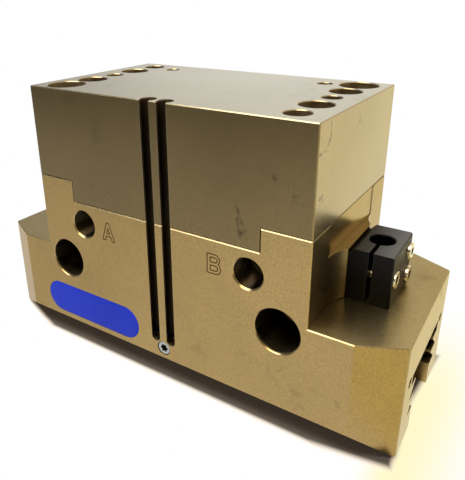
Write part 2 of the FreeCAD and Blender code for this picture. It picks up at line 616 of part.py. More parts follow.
def base_jaw():
    """Right jaw: toothed bar with an inclined pocket for the wedge, finger threads and a seat for the cam."""
    bar = prism(guide_profile(JAW_INNER, 0, JAW_TOP, GUIDE_CLEARANCE), X * (JAW_OUTER - JAW_INNER))
    rim = edges_on(bar, lambda p: near(p.z, 0) or (near(p.x, JAW_OUTER) and near(p.z, JAW_TOP)))
    bar = bar.makeChamfer(JAW_EDGE_BREAK, rim)
    low, high = -PAST, JAW_TOP + PAST
    half = HOOK_THICKNESS / 2 + HOOK_CLEARANCE
    wide = half + FLANGE_REACH
    play = HOOK_CLEARANCE
    inner = min(hook_side(high), 0) - FLANGE_WIDTH
    pocket = [
        Vector(hook_side(low) + play, -half, low), Vector(hook_side(high) + play, -half, high),
        Vector(inner, -half, high), Vector(inner, -half, low),
    ]
    groove = [
        Vector(hook_side(low) + play, -wide, low), Vector(hook_side(high) + play, -wide, high),
        Vector(hook_side(high) - FLANGE_WIDTH - play, -wide, high),
        Vector(hook_side(low) - FLANGE_WIDTH - play, -wide, low),
    ]
    shaft_room = ROD_RADIUS + ROD_CLEARANCE
    cuts = [
        prism(pocket, Y * (2 * half)),
        prism(groove, Y * (2 * wide)),
        block(inner, 0, -shaft_room, shaft_room, HOOK_BOTTOM, high),
        rod(shaft_room, Vector(0, 0, HOOK_BOTTOM), Z, high - HOOK_BOTTOM),
        cam_seat(),
    ]
    for x in finger_screw_places():
        cuts.append(drilled(FINGER_SCREW_RADIUS, Vector(x, 0, 0), Z, FINGER_SCREW_DEPTH))
        cuts.append(rod(FINGER_SEAT_RADIUS, Vector(x, 0, 0), Z, FINGER_SEAT_DEPTH))
    place = cam_screw_place()
    cuts.append(rod(SMALL_SCREW_RADIUS + PIN_FIT, place, Z * -1, CAM_SCREW_GRIP + CAM_THICKNESS))
    return bar.cut(cuts).removeSplitter()


def finger_screw_places():
    """Places of the finger screws along X, counted from the outer end of the jaw."""
    outer = JAW_OUTER - FINGER_SCREW_FROM_END
    return [outer, outer - FINGER_SCREW_SPACING]


def cam_ends():
    """Inner and outer end of the cam along X."""
    outer = JAW_OUTER - CAM_FROM_END
    return outer - CAM_LENGTH, outer


def cam_seat():
    """Groove for the cam in the top of the jaw."""
    inner, outer = cam_ends()
    half = CAM_WIDTH / 2 + CAM_PLAY
    y = BRACKET_BORE_Y
    floor = JAW_TOP - CAM_THICKNESS
    return block(inner - CAM_PLAY, outer + CAM_PLAY, y - half, y + half, floor, JAW_TOP + PAST)


def cam_screw_place():
    """Seat of the screw head in the cam, between the two finger threads."""
    outer, inner = finger_screw_places()
    return Vector((outer + inner) / 2, BRACKET_BORE_Y, JAW_TOP - CAM_HEAD_HEIGHT - CAM_PLAY)


def switch_cam():
    """Flat steel target with sloped ends, sunk in the jaw."""
    inner, outer = cam_ends()
    y = BRACKET_BORE_Y - CAM_WIDTH / 2
    low, high = JAW_TOP - CAM_THICKNESS, JAW_TOP
    slope = CAM_THICKNESS / 2
    side = [
        Vector(inner, y, low), Vector(outer, y, low), Vector(outer, y, high - slope),
        Vector(outer - slope, y, high), Vector(inner + slope, y, high), Vector(inner, y, high - slope),
    ]
    place = cam_screw_place()
    head = rod(SMALL_HEAD_RADIUS + HEAD_PLAY, place, Z, CAM_THICKNESS)
    shank = rod(SMALL_SCREW_RADIUS + SHANK_PLAY, place, Z * -1, CAM_THICKNESS)
    return prism(side, Y * CAM_WIDTH).cut([head, shank])


def sensor_bracket():
    """Clamp block with an upright bore, a slit to the front and screw holes along X."""
    left, right = BOSS_FACE, BOSS_FACE + BRACKET_WIDTH
    top = SHOULDER + BRACKET_HEIGHT
    solid = block(left, right, BRACKET_FRONT, BRACKET_REAR, SHOULDER, top)
    back_edge = edges_on(solid, lambda p: near(p.x, left) and near(p.z, top))
    solid = solid.makeChamfer(BRACKET_BACK_CHAMFER, back_edge)
    round_edges = edges_on(solid, lambda p: near(p.x, right) and not near(p.z, SHOULDER))
    solid = solid.makeFillet(BRACKET_ROUND, round_edges)
    bore = Vector(BRACKET_X, BRACKET_BORE_Y, SHOULDER - PAST)
    half = BRACKET_SLIT / 2
    slit_left, slit_right = BRACKET_X - half, BRACKET_X + half
    cuts = [
        rod(BRACKET_BORE_RADIUS, bore, Z, BRACKET_HEIGHT + 2 * PAST),
        countersink(BRACKET_BORE_RADIUS, BRACKET_BORE_BREAK, Vector(bore.x, bore.y, top), Z * -1),
        block(slit_left, slit_right, BRACKET_FRONT - PAST, BRACKET_BORE_Y, SHOULDER - PAST, top + PAST),
    ]
    for place in mount_screw_places():
        cuts.append(rod(SMALL_SCREW_RADIUS + SHANK_PLAY, place - X * PAST, X, BRACKET_WIDTH + PAST))
    clamp = clamp_screw_seat()
    cuts.append(rod(SMALL_SCREW_RADIUS + PIN_FIT, clamp, X * -1, CLAMP_SCREW_GRIP + SCREW_END_ROOM))
    for seat in bracket_screw_seats() + [clamp]:
        cuts.append(rod(SMALL_HEAD_RADIUS + HEAD_PLAY, seat, X, SMALL_HEAD_HEIGHT))
    return solid.cut(cuts).removeSplitter()


def bracket_screw_seats():
    """Points under the heads of the two screws that hold the bracket, sunk in its outer face."""
    return [place + X * (BRACKET_WIDTH - MOUNT_HEAD_SINK) for place in mount_screw_places()]


def clamp_screw_seat():
    """Point under the head of the clamp screw, sunk in the outer face of the bracket."""
    y = BRACKET_FRONT + CLAMP_SCREW_FROM_FRONT
    return Vector(BOSS_FACE + BRACKET_WIDTH - CLAMP_HEAD_SINK, y, SHOULDER + CLAMP_SCREW_HEIGHT)


def spring_section(x, low, length, turn):
    """Outline of the wire after some turns: the end turns lie close, the turns between them are open."""
    open_turn = min(max(turn - SPRING_END_TURNS, 0), SPRING_OPEN_TURNS)
    open_pitch = (length - 2 * SPRING_END_TURNS * SPRING_END_PITCH) / SPRING_OPEN_TURNS
    height = low + open_pitch * open_turn + SPRING_END_PITCH * (turn - open_turn)
    angle = 2 * math.pi * turn
    corners = []
    for i in range(SPRING_SIDES):
        around = 2 * math.pi * i / SPRING_SIDES
        out = SPRING_RADIUS + SPRING_WIRE / 2 * math.cos(around)
        up = SPRING_WIRE / 2 * math.sin(around)
        corners.append(Vector(x + out * math.cos(angle), out * math.sin(angle), height + up))
    return corners


def flat_face(points):
    return Part.Face(Part.makePolygon(points + [points[0]]))


def closing_spring(x):
    """Coil of flat-sided links between the piston pocket and the ceiling of the cavity."""
    low = SPRING_FLOOR + SPRING_SEAT_GAP + SPRING_WIRE / 2
    length = CAVITY_CEILING - SPRING_SEAT_GAP - SPRING_WIRE / 2 - low
    links = (SPRING_OPEN_TURNS + 2 * SPRING_END_TURNS) * SPRING_LINKS_PER_TURN
    rings = [spring_section(x, low, length, i / SPRING_LINKS_PER_TURN) for i in range(links + 1)]
    faces = [flat_face(rings[0]), flat_face(rings[-1][::-1])]
    for ring, following in zip(rings, rings[1:]):
        for i in range(SPRING_SIDES):
            before = i - 1
            faces.append(flat_face([ring[before], following[i], ring[i]]))
            faces.append(flat_face([ring[before], following[before], following[i]]))
    return Part.Solid(Part.Shell(faces))


def small_screw(seat, grip):
    """Cap screw on the bracket, its head on the outer side."""
    return cap_screw(SMALL_SCREW_RADIUS, SMALL_HEAD_RADIUS, SMALL_HEAD_HEIGHT, grip, seat, X)


def cam_screw():
    """Low-headed screw that holds the cam in the jaw."""
    place = cam_screw_place()
    grip = CAM_SCREW_GRIP + CAM_THICKNESS - CAM_HEAD_HEIGHT
    return cap_screw(SMALL_SCREW_RADIUS, SMALL_HEAD_RADIUS, CAM_HEAD_HEIGHT, grip, place, Z)


def four_housing_screws():
    """Screws from the mounting side into the lower block."""
    grip = HEAD_SEAT - SEAM + HOUSING_SCREW_GRIP
    screws = []
    for x in (-1, 1):
        for y in (-1, 1):
            seat = Vector(x * MOUNT_SPACING_X / 2, y * HOUSING_SCREW_SPACING_Y / 2, HEAD_SEAT)
            screws.append(cap_screw(
                HOUSING_SCREW_RADIUS, HOUSING_HEAD_RADIUS, HOUSING_HEAD_HEIGHT, grip, seat, Z))
    return screws


os.makedirs("parts", exist_ok=True)

# Housing and what is fixed in it
save("guide_housing", guide_housing())
save("cylinder_housing", cylinder_housing())
gasket_low = TONGUE_FACE - GASKET_DEPTH
gasket_inner = BORE_RADIUS + GASKET_WALL + GASKET_PLAY
save("housing_seal", oval_ring(gasket_inner, GASKET_WIDTH - 2 * GASKET_PLAY, gasket_low, TONGUE_FACE))
save("housing_screws", *four_housing_screws())
dowel_low = SEAM - DOWEL_LENGTH / 2
dowel_places = [Vector(side * DOWEL_SPACING / 2, 0, dowel_low) for side in (-1, 1)]
save("housing_dowels", *[rod(DOWEL_RADIUS, place, Z, DOWEL_LENGTH) for place in dowel_places])
middle = Vector(0, 0, CHAMBER_CEILING)
save("rod_bush", tube(BUSH_RADIUS, ROD_RADIUS + ROD_FIT, middle, Z, BUSH_LENGTH))
seal_base = Vector(0, 0, SEAL_SEAT)
save("rod_seal", tube(SEAL_POCKET_RADIUS, ROD_RADIUS + ROD_FIT, seal_base, Z, ROD_SEAL_LENGTH))
retainer_base = seal_base + Z * ROD_SEAL_LENGTH
retainer_inner = ROD_RADIUS + ROD_CLEARANCE
save("rod_seal_retainer", tube(SEAL_POCKET_RADIUS, retainer_inner, retainer_base, Z, RETAINER_THICKNESS))
plug_low = MOUNT_FACE - DIRECT_PLUG_SINK - DIRECT_PLUG_LENGTH
plug_places = [Vector(side * DIRECT_PORT_X, DIRECT_PORT_Y, plug_low) for side in (-1, 1)]
plugs = [grub_screw(DIRECT_PORT_RADIUS, place, Z, DIRECT_PLUG_LENGTH) for place in plug_places]
save("direct_port_plugs", *plugs)
stop_end = Vector(STOP_SCREW_X, FRONT + STOP_SCREW_SINK + STOP_SCREW_LENGTH, UNDERSIDE + STOP_SCREW_HEIGHT)
save("groove_stop_screw", grub_screw(STOP_SCREW_RADIUS, stop_end, Y * -1, STOP_SCREW_LENGTH))
save("left_closing_spring", closing_spring(-SPRING_OFFSET))
save("right_closing_spring", closing_spring(SPRING_OFFSET))

# Sensor bracket and its screws
save("sensor_bracket", sensor_bracket())
save("bracket_clamp_screw", small_screw(clamp_screw_seat(), CLAMP_SCREW_GRIP))
bracket_grip = BRACKET_WIDTH - MOUNT_HEAD_SINK + MOUNT_SCREW_GRIP
save("bracket_mounting_screws", *[small_screw(seat, bracket_grip) for seat in bracket_screw_seats()])

# Piston and what moves with it
save("piston", piston())
seal_low = PISTON_BOTTOM + SEAL_FROM_BOTTOM
seal_inner = BORE_RADIUS - PISTON_FIT - SEAL_GROOVE_DEPTH
save("piston_seal", oval_ring(seal_inner, SEAL_GROOVE_DEPTH + SEAL_FIT, seal_low, seal_low + SEAL_HEIGHT))
ring_low = PISTON_BOTTOM + RING_FROM_BOTTOM
ring_inner = BORE_RADIUS - PISTON_FIT - RING_GROOVE_DEPTH
ring_wall = RING_GROOVE_DEPTH + SEAL_FIT
save("piston_guide_ring", oval_ring(ring_inner, ring_wall, ring_low, ring_low + RING_HEIGHT))
magnet_y = -BORE_RADIUS + PISTON_FIT
magnets = [Vector(x, magnet_y, PISTON_TOP - MAGNET_DROP) for x in magnet_places()]
save("piston_magnets", *[rod(MAGNET_RADIUS, place, Y, MAGNET_LENGTH) for place in magnets])
save("wedge_hook", wedge_hook())
screw_seat = Vector(0, 0, PISTON_TOP - PISTON_SCREW_HEAD_HEIGHT - ROD_CLEARANCE)
screw_grip = screw_seat.z - PISTON_BOTTOM - ROD_SPIGOT + PISTON_SCREW_GRIP - SCREW_END_ROOM
save("piston_screw", cap_screw(
    PISTON_SCREW_RADIUS, PISTON_SCREW_HEAD, PISTON_SCREW_HEAD_HEIGHT, screw_grip, screw_seat, Z))
ring_base = Vector(0, 0, PISTON_BOTTOM)
save("rod_o_ring", tube(ROD_RADIUS + ROD_RING_WALL, ROD_RADIUS + PIN_FIT, ring_base, Z, ROD_RING_HEIGHT))

# Jaws with their switch cams
for side, place in (("right", lambda shape: shape), ("left", mirrored)):
    save(side + "_base_jaw", place(base_jaw()))
    save(side + "_switch_cam", place(switch_cam()))
    save(side + "_cam_screw", place(cam_screw()))
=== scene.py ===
"""Looks of a two-jaw parallel gripper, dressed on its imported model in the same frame, in metres.

The jaws travel along X, the air ports are on the front at low Y, and the mounting face points up along Z.
"""

import json
import math

import bpy
import numpy as np
from bpy.props import FloatProperty, FloatVectorProperty, IntProperty, PointerProperty
from mathutils import Matrix, Vector


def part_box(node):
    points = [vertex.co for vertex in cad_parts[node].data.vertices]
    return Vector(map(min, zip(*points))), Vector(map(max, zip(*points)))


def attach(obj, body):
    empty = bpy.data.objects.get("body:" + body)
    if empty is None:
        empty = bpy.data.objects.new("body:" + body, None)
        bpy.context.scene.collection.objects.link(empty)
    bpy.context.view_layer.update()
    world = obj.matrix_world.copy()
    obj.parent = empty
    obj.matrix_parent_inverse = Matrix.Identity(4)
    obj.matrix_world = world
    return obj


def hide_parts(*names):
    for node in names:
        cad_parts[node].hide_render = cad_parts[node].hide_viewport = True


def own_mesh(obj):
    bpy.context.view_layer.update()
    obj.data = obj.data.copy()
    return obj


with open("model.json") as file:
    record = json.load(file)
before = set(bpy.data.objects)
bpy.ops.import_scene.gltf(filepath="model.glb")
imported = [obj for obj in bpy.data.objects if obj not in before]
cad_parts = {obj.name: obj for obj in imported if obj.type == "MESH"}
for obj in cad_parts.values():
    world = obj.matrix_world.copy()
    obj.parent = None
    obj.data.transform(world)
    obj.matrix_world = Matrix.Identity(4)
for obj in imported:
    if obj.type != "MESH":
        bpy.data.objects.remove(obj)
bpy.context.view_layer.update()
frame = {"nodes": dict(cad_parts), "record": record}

bl_info = {
    "name": "Parallel gripper looks",
    "version": (1, 0, 0),
    "blender": (4, 5, 0),
    "location": "View3D > Sidebar > Gripper",
    "description": "Finishes, small fasteners, threads, springs and studio of a two-jaw parallel gripper",
    "category": "Object",
}

MM = 0.001
IMAGE_WIDTH = 465
IMAGE_HEIGHT = 480

MOUNTS = {mount["name"]: mount for mount in frame["record"]["mounts"]}
BLOCK_LOW, BLOCK_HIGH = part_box("guide_housing")
FRONT = BLOCK_LOW.y
WALL, _, MOUNTING_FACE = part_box("cylinder_housing")[1]

# The holes and slots of the front lie before this depth and between these heights; there their walls get a
# painted shade
HOLE_BACK = -15.0 * MM
HOLE_LOW = 12.0 * MM
HOLE_HIGH = MOUNTING_FACE - 0.5 * MM

# Along this way from the middle, the painted shade of deep walls goes from the dark of the slots to the
# colour of the bores
PAST_SLOTS = (9.0 * MM, 12.0 * MM)

# Depths at which threads begin below their faces, their lengths, and what their inside and outside keep from
# the drilled wall
PORT_MOUTH = 0.45 * MM
PORT_THREAD = 9.0 * MM
MOUNT_MOUTH = 2.5 * MM
SEAT_MOUTH = 6.5 * MM
MOUNT_THREAD = 13.0 * MM
FINGER_MOUTH = 3.2 * MM
FINGER_THREAD = 9.0 * MM
THREAD_INNER_GAP = 0.01 * MM
THREAD_OUTER_GAP = 0.004 * MM

# Screws: gap between two heads, points round a screw, and drive recess against the radius of the top
HEAD_GAP = 1.5 * MM
SCREW_COLUMNS = 96
CAP_DRIVE = 0.52
GRUB_DRIVE = 0.62

# Radius of the label plate's rim
LABEL_RIM = 0.1 * MM

# Port letters: half the height of a line's section, and how deep its middle lies
LETTER_RISE = 0.03 * MM
LETTER_SINK = 0.02 * MM

# Soft box: edge, place, target and tint
KEY_SIZE = 0.5
KEY_PLACE = (-0.36, -0.22, 0.98)
KEY_TARGET = (0, 0, 0.05)
KEY_TINT = (1.0, 0.97, 0.92)

# Colours and the share of metal that several finishes have
WHITE = (1.0, 1.0, 1.0)
# Painted shade colour for the recesses of small metal parts
HOLLOW_SHADE = (0.02, 0.016, 0.01)
ANODISED_METAL = 0.9

# Sockets of Blender's colour mix node, which has several inputs of the same name
MIX_FACTOR, MIX_FIRST, MIX_SECOND, MIX_RESULT = 0, 6, 7, 2


# Sizes and colours that a user may change


def length(name, description, default):
    """A size property in metres."""
    return FloatProperty(name=name, description=description, default=default, subtype="DISTANCE", precision=5)


def colour(name, description, default):
    """A linear colour property without alpha."""
    return FloatVectorProperty(
        name=name, description=description, default=default, size=3, subtype="COLOR", min=0, max=1
    )


def number(name, description, default):
    """A plain number property."""
    return FloatProperty(name=name, description=description, default=default)


def share(name, description, default):
    """A property between none and all."""
    return FloatProperty(name=name, description=description, default=default, subtype="FACTOR", min=0, max=1)


def angle(name, description, degrees):
    """An angle property, given in degrees."""
    return FloatProperty(name=name, description=description, default=math.radians(degrees), subtype="ANGLE")


class GripperFinish(bpy.types.PropertyGroup):
    """Colours and gloss of the surfaces."""

    # Front, side and top colours of each block are a painted light and shade: fronts darker, tops lighter
    lower_front: colour("Lower front", "Guide housing, front and back faces", (0.345, 0.236, 0.09))
    lower_side: colour("Lower side", "Guide housing, end walls and end faces", (0.37, 0.28, 0.16))
    lower_top: colour("Lower top", "Guide housing, shoulders", (0.395, 0.322, 0.172))
    upper_front: colour("Upper front", "Cylinder housing, front and back faces", (0.174, 0.126, 0.0535))
    upper_side: colour("Upper side", "Cylinder housing, end walls", (0.37, 0.28, 0.18))
    upper_top: colour("Upper top", "Cylinder housing, mounting face", (0.43, 0.378, 0.235))
    # Painted shade colour of deep walls in holes and slots and of shut-in edges; it is also the dark of
    # smudges, scratches and rub marks. In the bores of the cylinder housing's mounting face the next colour
    # takes its place
    hollow: colour("Hollows", "Walls deep in holes and slots", (0.014, 0.01, 0.0055))
    bore: colour("Bores", "Walls deep in the holes of the mounting face", (0.36, 0.28, 0.17))
    lower_glance: colour("Lower glance", "Guide housing, tint along the surface", (0.9, 0.8, 0.63))
    upper_glance: colour("Upper glance", "Cylinder housing, tint along the surface", (1.0, 1.0, 1.0))
    lower_dull: share("Dull shoulders", "Guide housing, mirror that its shoulders lack", 0.03)
    upper_dull: share("Dull top", "Cylinder housing, mirror that its mounting face lacks", 0.0)
    bare_edge: colour("Bare edges", "Metal along worn edges", (0.8, 0.73, 0.57))
    anodised_gloss: share("Anodised roughness", "Roughness of the anodised blocks", 0.24)
    bracket: colour("Bracket", "Black anodised sensor bracket", (0.0012, 0.0012, 0.0019))
    # Dust and painted light: upward faces of the bracket are made lighter
    dust_and_painted_light: colour("Dust", "Upper faces of the sensor bracket", (0.16, 0.155, 0.15))
    label: colour("Label plate", "Bare plate in the front recess", (0.006, 0.025, 0.43))
    bright_steel: colour("Bright steel", "Small screws", (0.70, 0.65, 0.55))
    grey_steel: colour("Grey steel", "Stop screw of the sensor slots", (0.40, 0.41, 0.385))
    zinc: colour("Zinc", "Plated screws", (0.56, 0.47, 0.29))
    tool_steel: colour("Tool steel", "Jaws, wedge hook, cams and pins", (0.36, 0.33, 0.29))
    spring_wire: colour("Spring wire", "Closing springs", (0.27, 0.265, 0.26))
    bronze: colour("Bronze", "Rod bush", (0.6, 0.39, 0.16))
    nickel: colour("Nickel", "Piston magnets", (0.62, 0.6, 0.56))
    piston: colour("Piston", "Turned aluminium piston", (0.68, 0.68, 0.66))
    rubber: colour("Rubber", "Seals", (0.02, 0.02, 0.021))
    guide_plastic: colour("Guide ring", "Filled bearing plastic", (0.09, 0.08, 0.07))


class GripperDetails(bpy.types.PropertyGroup):
    """Sizes of the small pieces."""

    label_x: length("Label place", "Middle of the label plate along X", -33.5 * MM)
    label_z: length("Label height", "Middle of the label plate along Z", 15.5 * MM)
    label_length: length("Label length", "Length of the label plate", 45.9 * MM)
    label_width: length("Label width", "Width of the label plate", 12.7 * MM)
    label_depth: length("Label recess", "Depth of the recess behind the plate", 0.25 * MM)
    letter_line: length("Letter line", "Width of an engraved line", 0.6 * MM)
    letter_tall: length("Letter size", "Height of a port letter itself", 6.6 * MM)
    letter_a_x: length("Letter A place", "Left foot of the first port letter along X", -24.5 * MM)
    letter_a_z: length("Letter A height", "Foot of the first port letter along Z", 46.8 * MM)
    letter_b_x: length("Letter B place", "Left foot of the second port letter along X", 19.25 * MM)
    letter_b_z: length("Letter B height", "Foot of the second port letter along Z", 46.83 * MM)
    port_pitch: length("Port pitch", "Pitch of the pipe thread in the air ports", 0.907 * MM)
    hole_pitch: length("Hole pitch", "Pitch of the M8 threads in mounting face and jaws", 1.25 * MM)
    small_pitch: length("Small pitch", "Pitch of the small screws", 0.5 * MM)
    cap_pitch: length("Cap pitch", "Pitch of the housing and piston screws", 1.0 * MM)
    spring_wire: length("Spring wire", "Wire diameter of the closing springs", 3.0 * MM)
    spring_turns: IntProperty(name="Spring turns", description="Open turns of a spring", default=5, min=1)


class GripperStudio(bpy.types.PropertyGroup):
    """Camera, light, room and floor."""

    camera_place: FloatVectorProperty(
        name="Camera", description="Place of the camera", subtype="TRANSLATION", size=3,
        default=(101.435 * MM, -154.077 * MM, 129.313 * MM),
    )
    azimuth: angle("Azimuth", "Camera's turn from the front towards the right", 33.137)
    elevation: angle("Elevation", "Camera's downward tilt", 21.069)
    roll: angle("Roll", "Camera's turn about its own axis", -0.49)
    focal_pixels: number("Focal length", "In pixels of the image", 541.65)
    centre_u: number("Centre across", "Optical centre in pixels", 213.33)
    centre_v: number("Centre down", "Optical centre in pixels", 193.67)
    key_power: number("Key light", "Power of the soft box in watts", 22.0)
    ambient: number("Ambient", "Strength of the white room on dull surfaces", 0.12)
    window: number("Window", "Bright patch above the front, in reflections", 6.5)
    room_warm: colour("Warm room", "Room to the right, in reflections", (1.0, 0.86, 0.6))
    front_dim: share("Front dimming", "Brightness far to the front, in reflections", 0.3)
    left_dim: share("Left dimming", "Brightness of the room to the left, in reflections", 0.3)
    floor_near: colour("Floor", "Floor beside the object", (0.93, 0.91, 0.86))
    # Warm floor colour to the right, also the tint of a painted pool of warm light that the camera sees
    # beside the right end
    floor_warm: colour("Warm floor", "Floor to the right of the object", (1.0, 0.95, 0.6))
    # Painted shadow under the object: a dark floor colour, a faint fixed glow in the shade tint, and a dim
    # floor in reflections; the shadow and skew values below draw its edge
    floor_dark: colour("Dark floor", "Floor under the object", (0.06, 0.052, 0.044))
    floor_shade: colour("Floor shade", "Tint of the light that is left under the object", (1.0, 0.75, 0.55))
    shade_level: share("Shade level", "Strength of the light that is left under the object", 0.032)
    foot_dim: share("Dark foot", "Brightness of the floor under the object, in reflections", 0.05)
    shadow_near: length("Shadow start", "Distance inside the shadow where it begins to fade", 0.1 * MM)
    shadow_far: length("Shadow end", "Distance outside the shadow where the floor is plain", 2.9 * MM)
    shadow_left: length("Shadow left", "Reach of the shadow to the left along its slant", 146.9 * MM)
    shadow_right: length("Shadow right", "Reach of the shadow to the right along its slant", 263.6 * MM)
    skew_left: number("Left skew", "Slant of the shadow's left end", 2.85)
    skew_right: number("Right skew", "Slant of the shadow's right end", 6.54)
    slope_left: share("Left slope", "Fading at the left end against that at the front", 0.267)
    slope_right: share("Right slope", "Fading at the right end against that at the front", 0.108)
    shadow_block: length("Guide shadow", "Reach of the shadow along X, in the mouth of the guide", 76.1 * MM)
    skew_block: number("Guide skew", "Growth of that reach away from the guide", 0.085)


# Grids of points and the meshes made from them


def skin(points, closed=False):
    """Points and faces of one surface over a grid whose rows follow the shape and whose columns go round it.

    Neighbouring rows are joined by quads that face outwards when the columns turn anticlockwise as seen from
    the far end. A closed grid joins its last row to its first. An open one gets a middle point at each end,
    the mean of that row, and a fan of triangles.
    """
    rows, columns = points.shape[:2]
    index = np.arange(rows * columns).reshape(rows, columns)
    near = index if closed else index[:-1]
    far = np.roll(index, -1, axis=0) if closed else index[1:]
    quads = np.stack([near, np.roll(near, -1, axis=1), np.roll(far, -1, axis=1), far], axis=-1)
    faces = quads.reshape(-1, 4).tolist()
    flat = points.reshape(-1, 3)
    if not closed:
        first, last = index[0], index[-1]
        low = np.full(columns, rows * columns)
        flat = np.concatenate([flat, points[[0, -1]].mean(axis=1)])
        faces += np.stack([low, np.roll(first, -1), first], axis=-1).tolist()
        faces += np.stack([low + 1, last, np.roll(last, -1)], axis=-1).tolist()
    return flat, faces


def turned(radius, height, columns):
    """Grid of a turned shape: one circle of the given radius and height per row.

    Radius is one number per row, or one per row and column where the circle is broken by flats or a thread.
    """
    turn = np.linspace(0, 2 * math.pi, columns, endpoint=False)
    radius = np.broadcast_to(np.asarray(radius, float).reshape(len(height), -1), (len(height), columns))
    across = radius * np.cos(turn)
    along = radius * np.sin(turn)
    up = np.broadcast_to(np.asarray(height, float)[:, None], across.shape)
    return np.stack([across, along, up], axis=-1)


def carried(path, out, section, closed=False):
    """Grid of a section carried along a path.

    Each row is the section at one path point. The section's first number goes along that point's outward
    direction, and its second along the tangent crossed with it.
    """
    ahead = np.roll(path, -1, axis=0) if closed else np.concatenate([path[1:], path[-1:]])
    behind = np.roll(path, 1, axis=0) if closed else np.concatenate([path[:1], path[:-1]])
    tangent = ahead - behind
    tangent /= np.linalg.norm(tangent, axis=1, keepdims=True)
    sideways = np.cross(tangent, out)
    sideways /= np.linalg.norm(sideways, axis=1, keepdims=True)
    outward = np.cross(sideways, tangent)
    return path[:, None] + section[None, :, :1] * outward[:, None] + section[None, :, 1:] * sideways[:, None]


def ellipse(half_width, half_height, columns):
    """Section points on an ellipse, anticlockwise."""
    turn = np.linspace(0, 2 * math.pi, columns, endpoint=False)
    return np.stack([half_width * np.cos(turn), half_height * np.sin(turn)], axis=-1)


def placed(points, place, axis):
    """The grid turned from the Z axis to another axis, and moved to its place."""
    turn = np.array(Vector(axis).to_track_quat("Z", "Y").to_matrix())
    return points @ turn.T + np.array(place)


def add_piece(name, surfaces, material, body, sharp=35.0):
    """One object at the origin from a list of point and face surfaces, riding on a body."""
    points = []
    faces = []
    for surface_points, surface_faces in surfaces:
        start = sum(len(done) for done in points)
        points.append(surface_points)
        faces += [[start + corner for corner in face] for face in surface_faces]
    mesh = bpy.data.meshes.new(name)
    mesh.from_pydata(np.concatenate(points), [], faces)
    mesh.shade_smooth()
    mesh.set_sharp_from_angle(angle=math.radians(sharp))
    mesh.validate()
    piece = bpy.data.objects.new(name, mesh)
    bpy.context.scene.collection.objects.link(piece)
    mesh.materials.append(material)
    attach(piece, body)
    return piece


def paint(nodes, material):
    """Gives CAD nodes one material."""
    for name in nodes:
        for place in frame["nodes"][name].material_slots:
            place.material = material


# Shader nodes


class Value:
    """An output of a shader node that takes part in sums, so that a formula of a material reads as one."""

    def __init__(self, socket):
        self.socket = socket
        self.tree = socket.id_data

    def maths(self, operation, other=0.0):
        """Result of an operation with another value or a plain number."""
        return read(self.tree, "ShaderNodeMath", {0: self, 1: other}, operation=operation)

    def __add__(self, other):
        return self.maths("ADD", other)

    def __sub__(self, other):
        return self.maths("SUBTRACT", other)

    def __mul__(self, other):
        return self.maths("MULTIPLY", other)

    def __truediv__(self, other):
        return self.maths("DIVIDE", other)

    def __abs__(self):
        return self.maths("ABSOLUTE")

    def __lt__(self, other):
        return self.maths("LESS_THAN", other)

    def __gt__(self, other):
        return self.maths("GREATER_THAN", other)

    def larger(self, other):
        """The larger of two."""
        return self.maths("MAXIMUM", other)

    def ramp(self, low, high, start=0.0, end=1.0):
        """A smooth step from start to end as the value goes from low to high."""
        inputs = {"Value": self, "From Min": low, "From Max": high, "To Min": start, "To Max": end}
        return read(self.tree, "ShaderNodeMapRange", inputs, "Result", interpolation_type="SMOOTHSTEP")

    def mix(self, first, second):
        """The first colour where the value is 0, and the second where it is 1."""
        return mixed(self.tree, self, first, second)


class Outputs:
    """The outputs of a node as values, by name."""

    def __init__(self, made):
        self.made = made

    def __getitem__(self, name):
        return Value(self.made.outputs[name])


def node(tree, kind, inputs=None, **settings):
    """A shader node. Each input is a plain value, or another node's output to link."""
    made = tree.nodes.new(kind)
    for name, value in settings.items():
        setattr(made, name, value)
    for name, value in (inputs or {}).items():
        if isinstance(value, Value):
            tree.links.new(value.socket, made.inputs[name])
        else:
            made.inputs[name].default_value = value
    return made


def read(tree, kind, inputs=None, output=0, **settings):
    """One output of a new shader node."""
    return Value(node(tree, kind, inputs, **settings).outputs[output])


def feed(sockets, **values):
    """Links values to input sockets by name, with an underscore for a space."""
    for label, value in values.items():
        value.tree.links.new(value.socket, sockets[label.replace("_", " ")])


def split(tree, kind, output):
    """The X, Y and Z of a vector that a new node gives."""
    return Outputs(node(tree, "ShaderNodeSeparateXYZ", {0: read(tree, kind, output=output)}))


def vectors(tree, operation, first, second, output="Vector"):
    """Result of an operation on two vectors."""
    return read(tree, "ShaderNodeVectorMath", {0: first, 1: second}, output, operation=operation)


def solid(tint):
    """A node's colour as it is, or a plain colour with full alpha."""
    return tint if isinstance(tint, Value) else (*tint, 1.0)


def mixed(tree, factor, first, second, mode="MIX"):
    """Two colours mixed by a factor."""
    inputs = {MIX_FACTOR: factor, MIX_FIRST: solid(first), MIX_SECOND: solid(second)}
    return read(tree, "ShaderNodeMix", inputs, MIX_RESULT, data_type="RGBA", blend_type=mode)


def toned(tint, tone):
    """A colour multiplied by a tone about 1."""
    grey = read(tone.tree, "ShaderNodeCombineColor", {"Red": tone, "Green": tone, "Blue": tone})
    return mixed(tone.tree, 1.0, tint, grey, "MULTIPLY")


def noise(tree, cells, detail=2.0, turn=None):
    """Noise on the piece's own coordinates, in cells per metre."""
    place = read(tree, "ShaderNodeTexCoord", output="Object")
    if turn:
        place = read(tree, "ShaderNodeMapping", {"Vector": place, "Rotation": turn})
    return read(tree, "ShaderNodeTexNoise", {"Vector": place, "Scale": cells, "Detail": detail}, "Fac")


